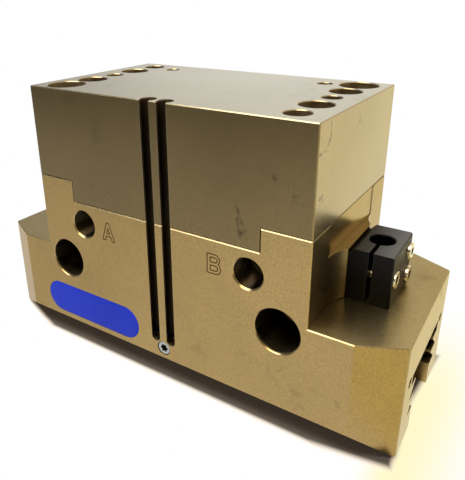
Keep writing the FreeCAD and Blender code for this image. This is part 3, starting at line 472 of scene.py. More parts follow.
def effect(name, inputs, outputs):
    """An empty shader group with named numbers: its tree, its inputs and the sockets of its outputs."""
    tree = bpy.data.node_groups.new(name, "ShaderNodeTree")
    for label, default in inputs.items():
        socket = tree.interface.new_socket(label, in_out="INPUT", socket_type="NodeSocketFloat")
        socket.default_value = default
    for label in outputs:
        tree.interface.new_socket(label, in_out="OUTPUT", socket_type="NodeSocketFloat")
    given = Outputs(tree.nodes.new("NodeGroupInput"))
    return tree, given, tree.nodes.new("NodeGroupOutput").inputs


def fine_grain_group():
    """Grain of a blasted or ground surface: noise gives a tone about 1 and a height."""
    inputs = {"Cells per metre": 2600.0, "Contrast": 0.1}
    tree, given, wanted = effect("Fine grain", inputs, ("Tone", "Height"))
    grain = noise(tree, given["Cells per metre"], 3.0)
    feed(wanted, Tone=(grain - 0.5) * given["Contrast"] + 1.0, Height=grain)
    return tree


def handling_group():
    """Marks of handling: smudges where two noises meet, hair scratches along level lines, and a cloud."""
    tree, given, wanted = effect("Handling marks", {"Amount": 1.0}, ("Smudge", "Scratch", "Cloud"))
    cloud = noise(tree, 28.0, 3.0)
    flecks = noise(tree, 210.0, 4.0).ramp(0.5, 0.75)
    level = abs(noise(tree, 33.0, 1.0, turn=(0.6, 0.9, 0.3)) - 0.5)
    broken = noise(tree, 75.0, 2.0, turn=(1.2, 0.4, 2.0)).ramp(0.6, 0.68)
    smudge = cloud.ramp(0.55, 0.7) * flecks * given["Amount"]
    scratch = level.ramp(0.0, 0.004, 1.0, 0.0) * broken * given["Amount"]
    feed(wanted, Smudge=smudge, Scratch=scratch, Cloud=cloud)
    return tree


def hollow_group():
    """Share of a surface that is shut in by its own piece: 0 in the open, 1 deep in a slot or a bore.

    The larger of two shares counts, one within the reach of a narrow slot and one within that of a wide bore.
    """
    tree, given, wanted = effect("Hollows", {"Slot reach": 0.005, "Bore reach": 0.016}, ("Hollow",))
    shares = []
    for reach, deep, open_air in (("Slot reach", 0.1, 0.4), ("Bore reach", 0.12, 0.5)):
        inputs = {"Distance": given[reach]}
        seen = read(tree, "ShaderNodeAmbientOcclusion", inputs, "AO", only_local=True, samples=8)
        shares.append(seen.ramp(deep, open_air, 1.0, 0.0))
    feed(wanted, Hollow=shares[0].larger(shares[1]))
    return tree


def edge_wear_and_shade_group():
    """Wear along edges, and a painted shade where edges are shut in.

    Where a rounded normal leaves the true one, an edge in the open is worn, broken by noise. An edge that
    another face shuts in, as in a seam or a corner, gets a painted shade. A groove is what lies round such an
    edge.
    """
    tree, given, wanted = effect("Edge wear", {"Width": 0.0004}, ("Edge", "Grime", "Groove"))
    rounded = read(tree, "ShaderNodeBevel", {"Radius": given["Width"]}, samples=6)
    straight = read(tree, "ShaderNodeNewGeometry", output="Normal")
    bent = vectors(tree, "DOT_PRODUCT", rounded, straight, "Value").ramp(0.78, 0.985, 1.0, 0.0)
    air = read(tree, "ShaderNodeAmbientOcclusion", {"Distance": 0.0009}, "AO", samples=8)
    worn = noise(tree, 160.0, 3.0).ramp(0.3, 0.6, 0.35, 1.0)
    feed(wanted, Edge=bent * air.ramp(0.6, 0.85) * worn)
    # Painted shade where ambient occlusion finds a shut-in edge
    feed(wanted, Grime=air.ramp(0.25, 0.62, 1.0, 0.0), Groove=air.ramp(0.6, 0.95, 1.0, 0.0))
    return tree


def rub_group():
    """A rub along a straight line: full on the line, gone at its width, broken by noise."""
    ends = {f"{end} {axis}": 0.0 for end in ("Start", "End") for axis in "XYZ"}
    tree, given, wanted = effect("Rub mark", {**ends, "Width": 0.001}, ("Rub",))
    start, end = (
        read(tree, "ShaderNodeCombineXYZ", {axis: given[f"{name} {axis}"] for axis in "XYZ"})
        for name in ("Start", "End")
    )
    whole = vectors(tree, "SUBTRACT", end, start)
    ahead = vectors(tree, "SUBTRACT", read(tree, "ShaderNodeTexCoord", output="Object"), start)
    done, all_of_it = (vectors(tree, "DOT_PRODUCT", whole, other, "Value") for other in (ahead, whole))
    part = read(tree, "ShaderNodeMath", {0: done, 1: all_of_it}, operation="DIVIDE", use_clamp=True)
    foot = read(tree, "ShaderNodeVectorMath", {0: whole, "Scale": part}, operation="SCALE")
    off = vectors(tree, "DISTANCE", ahead, foot, "Value")
    body = (off / given["Width"]).ramp(0.0, 1.0, 1.0, 0.0)
    feed(wanted, Rub=body * noise(tree, 420.0, 4.0).ramp(0.35, 0.62))
    return tree


EFFECTS = {
    "Fine grain": fine_grain_group,
    "Handling marks": handling_group,
    "Hollows": hollow_group,
    "Edge wear": edge_wear_and_shade_group,
    "Rub mark": rub_group,
}


def use(tree, name, **values):
    """Places a shared effect in a material and gives its outputs. It is built on first use."""
    placed_group = tree.nodes.new("ShaderNodeGroup")
    placed_group.node_tree = bpy.data.node_groups.get(name) or EFFECTS[name]()
    for label, value in values.items():
        placed_group.inputs[label.replace("_", " ")].default_value = value
    return Outputs(placed_group)


def new_material(name, metallic, coat=0.0, coat_roughness=0.1):
    """An empty material with its shader: the material, its tree and the shader node."""
    material = bpy.data.materials.new(name)
    material.use_nodes = True
    tree = material.node_tree
    shader = tree.nodes["Principled BSDF"]
    shader.inputs["Metallic"].default_value = metallic
    shader.inputs["Coat Weight"].default_value = coat
    shader.inputs["Coat Roughness"].default_value = coat_roughness
    return material, tree, shader


def bump(shader, height, strength, distance):
    """Feeds a height to the shader's normal."""
    inputs = {"Height": height, "Strength": strength, "Distance": distance}
    feed(shader.inputs, Normal=read(height.tree, "ShaderNodeBump", inputs))


def rubbed(tint, rubs, dark):
    """A colour darkened along rub marks on the front and on the right end wall."""
    for face, rows in rubs.items():
        for first, low, second, high, width, strength in rows:
            if face == "front":
                ends = (first * MM, FRONT, low * MM), (second * MM, FRONT, high * MM)
            else:
                ends = (WALL, first * MM, low * MM), (WALL, second * MM, high * MM)
            places = {f"{name}_{axis}": at for name, end in zip(("Start", "End"), ends)
                      for axis, at in zip("XYZ", end)}
            rub = use(tint.tree, "Rub mark", Width=width * MM, **places)["Rub"]
            tint = (rub * strength).mix(tint, dark)
    return tint


def anodised_material(name, finish, block, bore, rubs):
    """Hard anodised aluminium, where each face of a block has its own tone by the way it turns, a painted
    light and shade.

    It has fine grain, smudges, hair scratches, rub marks and pale worn edges, with a painted shade in its
    hollows, grooves and shut-in edges. A small step in a groove where the front meets an end wall is painted
    white and dull, a painted highlight.
    """
    front, side, top, glance, dull_top = (
        getattr(finish, f"{block}_{face}") for face in ("front", "side", "top", "glance", "dull")
    )
    material, tree, shader = new_material(name, ANODISED_METAL, coat=0.12, coat_roughness=0.25)
    shader.inputs["Specular Tint"].default_value = solid(glance)
    grain = use(tree, "Fine grain", Cells_per_metre=1600.0, Contrast=0.65)
    marks = use(tree, "Handling marks")
    edges = use(tree, "Edge wear")
    normal = split(tree, "ShaderNodeNewGeometry", "Normal")
    place = split(tree, "ShaderNodeTexCoord", "Object")
    along = abs(place["X"])
    to_front = abs(normal["Y"])
    to_top = normal["Z"].ramp(0.6, 0.9)

    within = (along < WALL - MM) * (abs(place["Y"]) < BLOCK_HIGH.y - MM)
    upright = within * (abs(normal["Z"]) < 0.3)
    # Painted shade: walls shut in by the piece, and the walls of the front holes, take a dark colour
    in_hole = within * (place["Y"] < HOLE_BACK) * (place["Z"] > HOLE_LOW) * (place["Z"] < HOLE_HIGH)
    hollow = use(tree, "Hollows")["Hollow"].larger(in_hole * 0.8)
    # Painted shade in seams and corners, and on slanted faces beside grooves
    slanted = abs(normal["X"] * to_front.larger(abs(normal["Z"]))).ramp(0.3, 0.45)
    painted_shade = edges["Grime"].larger(slanted * edges["Groove"])
    # Painted highlight: a small step where the front meets an end wall is made white and dull, though it sits
    # in shade
    at_wall = abs(along - WALL).ramp(0.4 * MM, 0.6 * MM, 1.0, 0.0)
    step = at_wall * to_front.ramp(0.9, 0.98) * edges["Groove"]

    # Painted light and shade: each face takes the front, side or top colour by the way it turns
    tint = to_top.mix(to_front.ramp(0.5, 0.85).mix(side, front), top)
    tint = toned(tint, grain["Tone"])
    tint = toned(tint, marks["Cloud"].ramp(0.3, 0.7, 1.05, 0.93))
    tint = (marks["Smudge"] * 0.2).mix(tint, finish.hollow)
    tint = (marks["Scratch"] * 0.2).mix(tint, finish.hollow)
    tint = rubbed(tint, rubs, finish.hollow)
    tint = (edges["Edge"] * 0.25).mix(tint, finish.bare_edge)
    # Painted shade in hollows, dark near the slots and the bore colour further out, then painted shade at
    # shut-in edges
    tint = hollow.mix(tint, along.ramp(*PAST_SLOTS).mix(finish.hollow, bore))
    tint = painted_shade.mix(tint, finish.hollow)
    tint = step.mix(tint, WHITE)
    gloss = grain["Height"] * 0.12 + (finish.anodised_gloss - 0.06)
    gloss = gloss + marks["Smudge"] * 0.12 + upright * 0.3 + step * 0.6 + to_top * (2.0 * dull_top)
    metallic = to_top.ramp(0.0, 1.0, ANODISED_METAL, ANODISED_METAL - dull_top)
    feed(shader.inputs, Base_Color=tint, Roughness=gloss, Metallic=metallic)
    bump(shader, grain["Height"], 0.12, 0.03 * MM)
    return material


def metal_material(name, tint, roughness, cells=3000.0, contrast=0.2, painted_shade=HOLLOW_SHADE, reach=3 * MM):
    """Plain machined or plated metal: grain in tone and gloss, a cloud, and a painted shade in its recesses.
    """
    made = bpy.data.materials.get(name)
    if made:
        return made
    material, tree, shader = new_material(name, 1.0)
    grain = use(tree, "Fine grain", Cells_per_metre=cells, Contrast=contrast)
    cloud = use(tree, "Handling marks")["Cloud"].ramp(0.3, 0.7, 1.06, 0.92)
    # Painted shade: recesses found by ambient occlusion take the dark shade colour
    hollow = use(tree, "Hollows", Slot_reach=0.4 * reach, Bore_reach=reach)["Hollow"]
    tint = hollow.mix(toned(toned(tint, grain["Tone"]), cloud), painted_shade)
    feed(shader.inputs, Base_Color=tint, Roughness=grain["Height"] * 0.14 + (roughness - 0.07))
    bump(shader, grain["Height"], 0.1, 0.02 * MM)
    return material


def tool_steel(finish):
    """The ground steel of the jaws and of what works with them."""
    return metal_material("Ground tool steel", finish.tool_steel, 0.32, 2600.0, 0.3)


def bracket_material(finish):
    """Matt black anodising: grey grain, upper faces lightened by dust and a painted light, smudges and
    slightly greyer worn edges.
    """
    material, tree, shader = new_material("Matt black anodising", 0.0)
    shader.inputs["Specular IOR Level"].default_value = 0.14
    grain = use(tree, "Fine grain", Cells_per_metre=2200.0, Contrast=0.7)
    smudge = use(tree, "Handling marks")["Smudge"]
    edge = use(tree, "Edge wear", Width=0.5 * MM)["Edge"]
    upward = split(tree, "ShaderNodeNewGeometry", "Normal")["Z"].ramp(0.5, 0.95)
    # Dust and painted light: faces that point up are lighter
    tint = toned(upward.mix(finish.bracket, finish.dust_and_painted_light), grain["Tone"])
    tint = (edge * 0.3).mix(tint, (0.09, 0.085, 0.08))
    tint = (smudge * 0.3).mix(tint, (0.05, 0.046, 0.04))
    feed(shader.inputs, Base_Color=tint, Roughness=grain["Height"].ramp(0.2, 0.8, 0.3, 0.44))
    bump(shader, grain["Height"], 0.2, 0.03 * MM)
    return material


def label_material(finish):
    """Blue plastic sheet: even colour with a faint cloud, slight orange peel and a few dull rubbed spots."""
    material, tree, shader = new_material("Blue label sheet", 0.0)
    shader.inputs["Specular IOR Level"].default_value = 0.08
    marks = use(tree, "Handling marks", Amount=0.8)
    grain = use(tree, "Fine grain", Cells_per_metre=900.0, Contrast=0.1)
    tint = toned(toned(finish.label, grain["Tone"]), marks["Cloud"].ramp(0.3, 0.7, 1.06, 0.92))
    feed(shader.inputs, Base_Color=tint, Roughness=marks["Smudge"] * 0.3 + 0.3)
    bump(shader, grain["Height"], 0.06, 0.04 * MM)
    return material


def rubber_material(name, tint, roughness):
    """Dull rubber or bearing plastic with a moulded grain and a dusty bloom."""
    material, tree, shader = new_material(name, 0.0)
    grain = use(tree, "Fine grain", Cells_per_metre=1800.0, Contrast=0.5)
    bloom = use(tree, "Handling marks")["Smudge"] * 0.25
    gloss = grain["Height"].ramp(0.2, 0.8, roughness - 0.08, roughness + 0.08)
    feed(shader.inputs, Base_Color=bloom.mix(toned(tint, grain["Tone"]), (0.12, 0.11, 0.1)), Roughness=gloss)
    bump(shader, grain["Height"], 0.25, 0.04 * MM)
    return material


# Rub marks by the face they are on: both ends, along X and Z on the front or along Y and Z on the right end
# wall, then width and strength. Lengths are in millimetres.
UPPER_RUBS = {
    "front": (
        (29.4, 71.0, 33.1, 61.6, 0.9, 0.55),
        (29.6, 67.0, 30.8, 61.4, 0.9, 0.45),
        (31.0, 63.4, 31.6, 63.0, 1.6, 0.7),
        (47.2, 77.0, 49.0, 76.2, 1.6, 0.5),
        (40.8, 81.8, 41.6, 81.2, 1.0, 0.5),
        (-41.2, 82.5, -41.0, 81.0, 2.4, 0.25),
        (-24.2, 88.0, -23.6, 83.0, 3.0, 0.2),
        (-36.5, 95.0, -33.0, 94.0, 2.6, 0.18),
    ),
    "wall": (
        (-24.4, 96.6, -24.0, 93.0, 0.8, 1.0),
        (-24.0, 93.0, -26.5, 89.8, 0.8, 1.0),
        (-26.5, 89.8, -31.0, 89.5, 0.8, 1.0),
        (-2.6, 94.1, -1.7, 90.7, 1.8, 0.4),
        (-29.4, 77.0, -27.6, 77.4, 0.8, 1.0),
        (-27.6, 77.4, -27.4, 75.6, 0.8, 1.0),
    ),
}
LOWER_RUBS = {"front": ((63.0, 17.6, 64.2, 15.2, 0.9, 0.5), (61.2, 12.0, 61.6, 11.4, 0.8, 0.4))}


# Surfaces of the small pieces


def stadium(half_length, radius, columns):
    """Outline of a rectangle with round ends, anticlockwise: a circle whose two halves are moved apart."""
    turn = np.linspace(0, 2 * math.pi, columns, endpoint=False) + math.pi / columns
    apart = np.sign(np.cos(turn)) * half_length
    return np.stack([apart + radius * np.cos(turn), radius * np.sin(turn)], axis=-1)


def plate_surface(length_x, width, thickness, rim, columns=96):
    """A flat plate with round ends: its outline up the side, then round the rim by a quarter circle."""
    radius = width / 2
    half_length = (length_x - width) / 2
    quarter = np.linspace(0, math.pi / 2, 5)
    inset = np.concatenate([[0], rim * (1 - np.cos(quarter)), [0.5 * radius]])
    height = np.concatenate([[0], thickness - rim + rim * np.sin(quarter), [thickness]])
    grid = np.stack([stadium(half_length, radius - step, columns) for step in inset])
    up = np.broadcast_to(height[:, None, None], (*grid.shape[:2], 1))
    return skin(np.concatenate([grid, up], axis=-1))


def arc(centre, radius, first, last, count=9):
    """Points on a circle from the first to the last angle in degrees."""
    turn = np.radians(np.linspace(first, last, count))
    return [(centre[0] + radius * c, centre[1] + radius * s) for c, s in zip(np.cos(turn), np.sin(turn))]


# Outlines of the port letters in tenths of their height, each with its counters
LETTER_A = (
    [(0, 0), (3.4, 10), (5.1, 10), (8.5, 0), (6.6, 0), (5.8, 2.4), (2.7, 2.4), (1.9, 0)],
    [(3.3, 4.0), (5.2, 4.0), (4.25, 7.2)],
)
LETTER_B = (
    [(0, 0)] + arc((4.6, 2.8), 2.8, -90, 55) + arc((4.3, 7.4), 2.6, -40, 90) + [(0, 10)],
    [(1.7, 1.6)] + arc((4.5, 2.9), 1.3, -90, 90) + [(1.7, 4.2)],
    [(1.7, 5.9)] + arc((4.3, 7.15), 1.25, -90, 90) + [(1.7, 8.4)],
)


def traced(points, step):
    """A closed outline resampled at even steps along its length."""
    corners = np.array([*points, points[0]], float)
    reach = np.concatenate([[0], np.cumsum(np.linalg.norm(np.diff(corners, axis=0), axis=1))])
    along = np.linspace(0, reach[-1], max(int(reach[-1] / step), 12), endpoint=False)
    return np.stack([np.interp(along, reach, corners[:, axis]) for axis in (0, 1)], axis=-1)


def letter_surfaces(outlines, x, z, sizes):
    """Flat lines along a letter's outlines: an ellipse carried along each, mostly sunk in the front face."""
    surfaces = []
    section = ellipse(sizes.letter_line / 2, LETTER_RISE, 8)
    for outline in outlines:
        flat = traced(outline, 0.22) * sizes.letter_tall / 10
        path = np.stack([x + flat[:, 0], np.full(len(flat), FRONT + LETTER_SINK), z + flat[:, 1]], axis=-1)
        ahead = np.roll(path, -1, axis=0) - np.roll(path, 1, axis=0)
        out = np.cross(ahead, (0.0, -1.0, 0.0))
        surfaces.append(skin(carried(path, out, section, closed=True), closed=True))
    return surfaces


def wave(phase):
    """A triangle wave of period 1: 0 at whole numbers and 1 half way between."""
    return 1 - np.abs(2 * (phase % 1) - 1)


def thread_surface(radius, pitch, depth, rows_per_turn=8, columns=48):
    """Threaded wall of a hole, mouth at the origin and running down along negative Z.

    Going down the inside, the radius is the drilled radius less the ridge height times a triangle wave of
    the height over the pitch less the turn. The crest is clipped flat, and the ridge grows in over the first
    turn. Going up the outside it is the drilled radius.
    """
    ridge = 0.61 * pitch
    count = int(depth / pitch * rows_per_turn)
    inside = np.linspace(0, -depth, count)
    turn = np.linspace(0, 1, columns, endpoint=False)
    growth = np.clip(-inside / pitch, 0, 1)[:, None]
    crest = np.clip(wave(inside[:, None] / pitch - turn), 0.12, 0.8)
    inner = radius - THREAD_INNER_GAP - ridge * growth * crest
    outer = np.full((2, columns), radius - THREAD_OUTER_GAP)
    heights = np.concatenate([inside, [-depth, 0]])
    return turned(np.concatenate([inner, outer]), heights, columns)


def hexagon(columns):
    """Radius of a hexagon round the circle, 1 at its corners."""
    turn = np.linspace(0, 2 * math.pi, columns, endpoint=False)
    return math.cos(math.pi / 6) / np.cos((turn % (math.pi / 3)) - math.pi / 6)


def star(columns):
    """Radius of a six-lobed star round the circle, 1 at its points."""
    turn = np.linspace(0, 2 * math.pi, columns, endpoint=False)
    return 0.86 + 0.14 * np.cos(6 * turn)


def screw_surface(head_radius, head_height, shank_radius, shank_length, pitch, drive, drive_radius):
    """A screw along Z with the underside of its head at the origin and its tip below.

    Rows go up from the tip: a chamfer, the threaded shank as a triangle wave, the head's side, a quarter
    circle at its rim, the flat top, and down into the drive recess, whose radius is multiplied by the drive's
    outline. A grub screw has no head: its shank runs up to the recess.
    """
    columns = len(drive)
    ridge = 0.54 * pitch
    turn = np.linspace(0, 1, columns, endpoint=False)
    top = head_height
    thread_end = -pitch / 2 if head_radius > shank_radius else top - ridge
    low = np.linspace(-shank_length + ridge, thread_end, max(int(shank_length / pitch * 5), 8))
    thread = shank_radius - ridge * wave(low[:, None] / pitch - turn)
    plain = np.ones(columns)
    rows = [(-shank_length, (shank_radius - ridge) * plain)]
    rows += list(zip(low, thread))
    rim = 0.09 * head_radius
    quarter = np.linspace(0, math.pi / 2, 5)
    if head_radius > shank_radius:
        rows += [(-pitch / 2, (shank_radius - ridge) * plain), (0, (shank_radius - ridge) * plain)]
        rows += [(0, (head_radius - rim / 2) * plain), (rim / 2, head_radius * plain)]
        rows += [(top - rim + rim * s, (head_radius - rim + rim * c) * plain)
                 for c, s in zip(np.cos(quarter), np.sin(quarter))]
    else:
        rows += [(top, (shank_radius - ridge) * plain)]
    depth = 1.1 * drive_radius
    rows += [(top, 1.1 * drive_radius * plain), (top - 0.06 * drive_radius, drive_radius * drive)]
    rows += [(top - depth, drive_radius * drive), (top - 1.25 * depth, 0.3 * drive_radius * plain)]
    heights = np.array([height for height, _ in rows])
    return turned(np.stack([radius for _, radius in rows]), heights, columns)


def spring_surface(centre, radius, wire, low, high, open_turns, columns=16, steps=40):
    """A coil spring along Z: a circle carried along a helix.

    The pitch is little more than one wire in the end turns and grows to an even open pitch between them.
    """
    turns = open_turns + 2
    along = np.linspace(0, turns, turns * steps + 1)
    closed = 1.1 * wire
    rise = high - low - wire
    spread = (rise - 2 * closed) / open_turns
    marks = [0, 0.8, 1.3, turns - 1.3, turns - 0.8, turns]
    pitch = np.interp(along, marks, [closed, closed, spread, spread, closed, closed])
    height = np.concatenate([[0], np.cumsum((pitch[1:] + pitch[:-1]) / 2)])
    height = low + wire / 2 + height / height[-1] * rise
    turn = 2 * math.pi * along
    out = np.stack([np.cos(turn), np.sin(turn), np.zeros_like(turn)], axis=-1)
    path = out * radius + np.array([centre[0], centre[1], 0.0])
    path[:, 2] = height
    return skin(carried(path, out, ellipse(wire / 2, wire / 2, columns)))


# Operators, one for each piece or group of like pieces


class GRIPPER_OT_blocks(bpy.types.Operator):
    """Finish the guide housing and the cylinder housing."""

    bl_idname = "gripper.blocks"
    bl_label = "Anodised blocks"

    def execute(self, context):
        finish = context.scene.gripper_finish
        lower = anodised_material("Champagne anodising", finish, "lower", finish.hollow, LOWER_RUBS)
        upper = anodised_material("Olive anodising", finish, "upper", finish.bore, UPPER_RUBS)
        paint(["guide_housing"], lower)
        paint(["cylinder_housing"], upper)
        return {"FINISHED"}


class GRIPPER_OT_bracket(bpy.types.Operator):
    """Finish the sensor bracket."""

    bl_idname = "gripper.bracket"
    bl_label = "Sensor bracket"

    def execute(self, context):
        paint(["sensor_bracket"], bracket_material(context.scene.gripper_finish))
        return {"FINISHED"}


class GRIPPER_OT_jaws(bpy.types.Operator):
    """Finish the jaws, the wedge hook, the switch cams, the dowels and the seal retainer."""

    bl_idname = "gripper.jaws"
    bl_label = "Jaws and hook"

    def execute(self, context):
        steel = tool_steel(context.scene.gripper_finish)
        paint(["left_base_jaw", "right_base_jaw", "wedge_hook", "left_switch_cam", "right_switch_cam"], steel)
        paint(["housing_dowels", "rod_seal_retainer"], steel)
        return {"FINISHED"}


class GRIPPER_OT_piston(bpy.types.Operator):
    """Finish the piston, its magnets, the rod bush, the guide ring and the seals."""

    bl_idname = "gripper.piston"
    bl_label = "Piston and seals"

    def execute(self, context):
        finish = context.scene.gripper_finish
        paint(["piston"], metal_material("Turned aluminium", finish.piston, 0.3))
        paint(["piston_magnets"], metal_material("Nickel plate", finish.nickel, 0.18))
        paint(["rod_bush"], metal_material("Bearing bronze", finish.bronze, 0.34))
        paint(["piston_guide_ring"], rubber_material("Guide ring plastic", finish.guide_plastic, 0.5))
        seals = ["housing_seal", "rod_seal", "piston_seal", "rod_o_ring"]
        paint(seals, rubber_material("Seal rubber", finish.rubber, 0.6))
        return {"FINISHED"}


class GRIPPER_OT_label(bpy.types.Operator):
    """Lay a bare plate in the recess of the front."""

    bl_idname = "gripper.label"
    bl_label = "Label plate"

    def execute(self, context):
        sizes = context.scene.gripper_details
        points, faces = plate_surface(sizes.label_length, sizes.label_width, sizes.label_depth, LABEL_RIM)
        place = (sizes.label_x, FRONT + sizes.label_depth, sizes.label_z)
        turn = np.array(Matrix.Rotation(math.pi / 2, 3, "X"))
        points = points @ turn.T + np.array(place)
        add_piece("label_plate", [(points, faces)], label_material(context.scene.gripper_finish), "housing")
        return {"FINISHED"}


class GRIPPER_OT_letters(bpy.types.Operator):
    """Mark the two air ports."""

    bl_idname = "gripper.letters"
    bl_label = "Port letters"

    def execute(self, context):
        sizes = context.scene.gripper_details
        ink = metal_material("Engraved line", (0.13, 0.076, 0.024), 0.5)
        letters = letter_surfaces(LETTER_A, sizes.letter_a_x, sizes.letter_a_z, sizes)
        letters += letter_surfaces(LETTER_B, sizes.letter_b_x, sizes.letter_b_z, sizes)
        add_piece("port_letters", letters, ink, "housing")
        return {"FINISHED"}


def threads(grid, places, axis):
    """A thread at each of its places."""
    return [skin(placed(grid, place, axis), closed=True) for place in places]


class GRIPPER_OT_threads(bpy.types.Operator):
    """Cut threads in the air ports, the mounting holes and the finger holes of the jaws."""

    bl_idname = "gripper.threads"
    bl_label = "Threads"

    def execute(self, context):
        sizes = context.scene.gripper_details
        finish = context.scene.gripper_finish
        # Painted shade: the cut threads are near black, darker than the metal they are cut in, and darker
        # still deep in the holes
        shaded_thread = metal_material("Cut thread", (0.022, 0.016, 0.009), 0.3, painted_shade=finish.hollow, reach=12 * MM)
        ports = []
        for name in ("air_port_a", "air_port_b"):
            mount = MOUNTS[name]
            grid = thread_surface(mount["dims"]["r_mm"] * MM, sizes.port_pitch, PORT_THREAD)
            x, _, z = mount["pos_m"]
            ports += threads(grid, [(x, FRONT + PORT_MOUTH, z)], mount["axis"])
        add_piece("port_threads", ports, shaded_thread, "housing")

        pattern = MOUNTS["mounting_threads"]["dims"]
        half_x = pattern["spacing_x_mm"] / 2 * MM
        half_y = pattern["spacing_y_mm"] / 2 * MM
        places = []
        for x in (-half_x, half_x):
            for y in (-half_y, half_y):
                # Two opposite holes begin below a sleeve seat
                start = SEAT_MOUTH if x * y > 0 else MOUNT_MOUTH
                places.append((x, y, MOUNTING_FACE - start))
        grid = thread_surface(pattern["hole_r_mm"] * MM, sizes.hole_pitch, MOUNT_THREAD)
        holes = threads(grid, places, (0, 0, 1))
        add_piece("mounting_threads", holes, shaded_thread, "housing")

        for side in ("left", "right"):
            mount = MOUNTS[f"{side}_finger_threads"]
            middle, _, _ = mount["pos_m"]
            reach = mount["dims"]["spacing_x_mm"] / 2 * MM
            places = [(x, 0, FINGER_MOUTH) for x in (middle - reach, middle + reach)]
            grid = thread_surface(mount["dims"]["hole_r_mm"] * MM, sizes.hole_pitch, FINGER_THREAD)
            holes = threads(grid, places, (0, 0, -1))
            add_piece(f"{side}_finger_threads", holes, tool_steel(finish), f"{side}_jaw")
        return {"FINISHED"}


class GRIPPER_OT_screws(bpy.types.Operator):
    """Replace the plain screws by ones with threads, rounded heads and drive recesses."""

    bl_idname = "gripper.screws"
    bl_label = "Screws"

    def execute(self, context):
        sizes = context.scene.gripper_details
        finish = context.scene.gripper_finish
        bright = metal_material("Bright screw steel", finish.bright_steel, 0.2), "bright_screw_steel"
        zinc = metal_material("Yellow zinc plate", finish.zinc, 0.3), "zinc_screw_steel"
        grey = metal_material("Grey screw steel", finish.grey_steel, 0.25), "bright_screw_steel"
        up, right, front = Vector((0, 0, 1)), Vector((1, 0, 0)), Vector((0, -1, 0))
        small, cap = sizes.small_pitch, sizes.cap_pitch
        # Heads are given by height and shank radius; a grub screw has none
        small_head = (2.6 * MM, 1.5 * MM)
        housing_head = (6.0 * MM, 3.0 * MM)
        piston_head = (5.9 * MM, 3.0 * MM)
        jobs = [
            ("bracket_clamp_screw", right, small_head, hexagon, small, bright, "housing"),
            ("bracket_mounting_screws", right, small_head, hexagon, small, bright, "housing"),
            ("left_cam_screw", up, small_head, hexagon, small, bright, "left_jaw"),
            ("right_cam_screw", up, small_head, hexagon, small, bright, "right_jaw"),
            ("housing_screws", up, housing_head, hexagon, cap, zinc, "housing"),
            ("piston_screw", up, piston_head, hexagon, cap, zinc, "piston"),
            ("direct_port_plugs", up, None, hexagon, small, zinc, "housing"),
            ("groove_stop_screw", front, None, star, small, grey, "housing"),
        ]
        for name, axis, head, drive, pitch, (material, slot), body in jobs:
            surfaces = [
                screw_on(place, axis, radius, reach, head, drive, pitch)
                for place, radius, reach in screw_places(name, axis)
            ]
            piece = add_piece(f"{name}_detailed", surfaces, material, body)
            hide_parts(name)
        return {"FINISHED"}


def screw_places(name, axis):
    """Top of each screw of a CAD node along an axis, its radius and its length.

    The screws of a node stand in a row or a rectangle. Along each side of it the points of the head tops are
    sorted, and a gap wider than any gap within one head parts two heads.
    """
    mesh = frame["nodes"][name].data
    points = np.zeros(len(mesh.vertices) * 3)
    mesh.vertices.foreach_get("co", points)
    points = points.reshape(-1, 3)
    along = points @ np.array(axis)
    top = along.max()
    heads = points[along > top - 0.01 * MM]
    across = [number for number in range(3) if abs(axis[number]) < 0.5]
    middles = []
    for number in across:
        values = np.sort(heads[:, number])
        groups = np.split(values, np.flatnonzero(np.diff(values) > HEAD_GAP) + 1)
        middles.append([(group[0] + group[-1]) / 2 for group in groups])
    radius = points[:, across[0]].max() - middles[0][-1]
    found = []
    for first in middles[0]:
        for second in middles[1]:
            place = np.array(axis) * top
            place[across] = first, second
            found.append((place, radius, top - along.min()))
    return found


def screw_on(place, axis, radius, reach, head, drive, pitch):
    """A screw whose top is at a place: a cap screw where a head is given, or else a grub screw."""
    outline = drive(SCREW_COLUMNS)
    if head:
        tall, shank = head
        grid = screw_surface(radius, tall, shank, reach - tall, pitch, outline, CAP_DRIVE * radius)
    else:
        tall = 0.0
        grid = screw_surface(radius, tall, radius, reach, pitch, outline, GRUB_DRIVE * radius)
    return skin(placed(grid, np.array(place) - np.array(axis) * tall, axis))


class GRIPPER_OT_springs(bpy.types.Operator):
    """Wind the two closing springs."""

    bl_idname = "gripper.springs"
    bl_label = "Closing springs"

    def execute(self, context):
        sizes = context.scene.gripper_details
        wire = metal_material("Oiled spring wire", context.scene.gripper_finish.spring_wire, 0.28)
        for side in ("left", "right"):
            name = f"{side}_closing_spring"
            low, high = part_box(name)
            middle = (low + high) / 2
            radius = (high.x - low.x - sizes.spring_wire) / 2
            surface = spring_surface(middle, radius, sizes.spring_wire, low.z, high.z, sizes.spring_turns)
            piece = add_piece(f"{side}_coil", [surface], wire, "housing")
            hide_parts(name)
            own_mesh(piece)
        return {"FINISHED"}


# Ways on the floor, in metres, along which it changes in reflections, and the brightness at their ends
WARM_FLOOR_X = (0.07, 0.09)
FRONT_FLOOR_Y = (-0.5, -0.14)
LEFT_FLOOR_X = (-0.4, -0.15)
LEFT_FLOOR_LEVEL = (0.78, 1.0)
RIGHT_FLOOR_X = (-0.1, 0.06)
RIGHT_FLOOR_LEVEL = (0.95, 1.25)

# Edges of the painted pool of warm light on the floor that the camera sees, in metres
GLOW_LEFT_X = (0.07, 0.08)
GLOW_RIGHT_X = (0.08, 0.105)
GLOW_FRONT_Y = (-0.075, -0.03)
GLOW_BACK_Y = (0.0, 0.07)

# Directions between which the room changes in reflections, and the edges of its window
ROOM_SLANT = 0.5
DIM_ROOM_LEFT = (-1.05, -0.55)
DIM_ROOM_Y = (-0.6, 0.2)
WARM_ROOM_X = (-0.3, -0.1)
WINDOW_LEFT_X = (-0.61, -0.53)
WINDOW_RIGHT_X = (0.1, 0.3)
WINDOW_LOW_Z = (0.6, 0.68)
WINDOW_BACK_Y = (-0.14, -0.08)


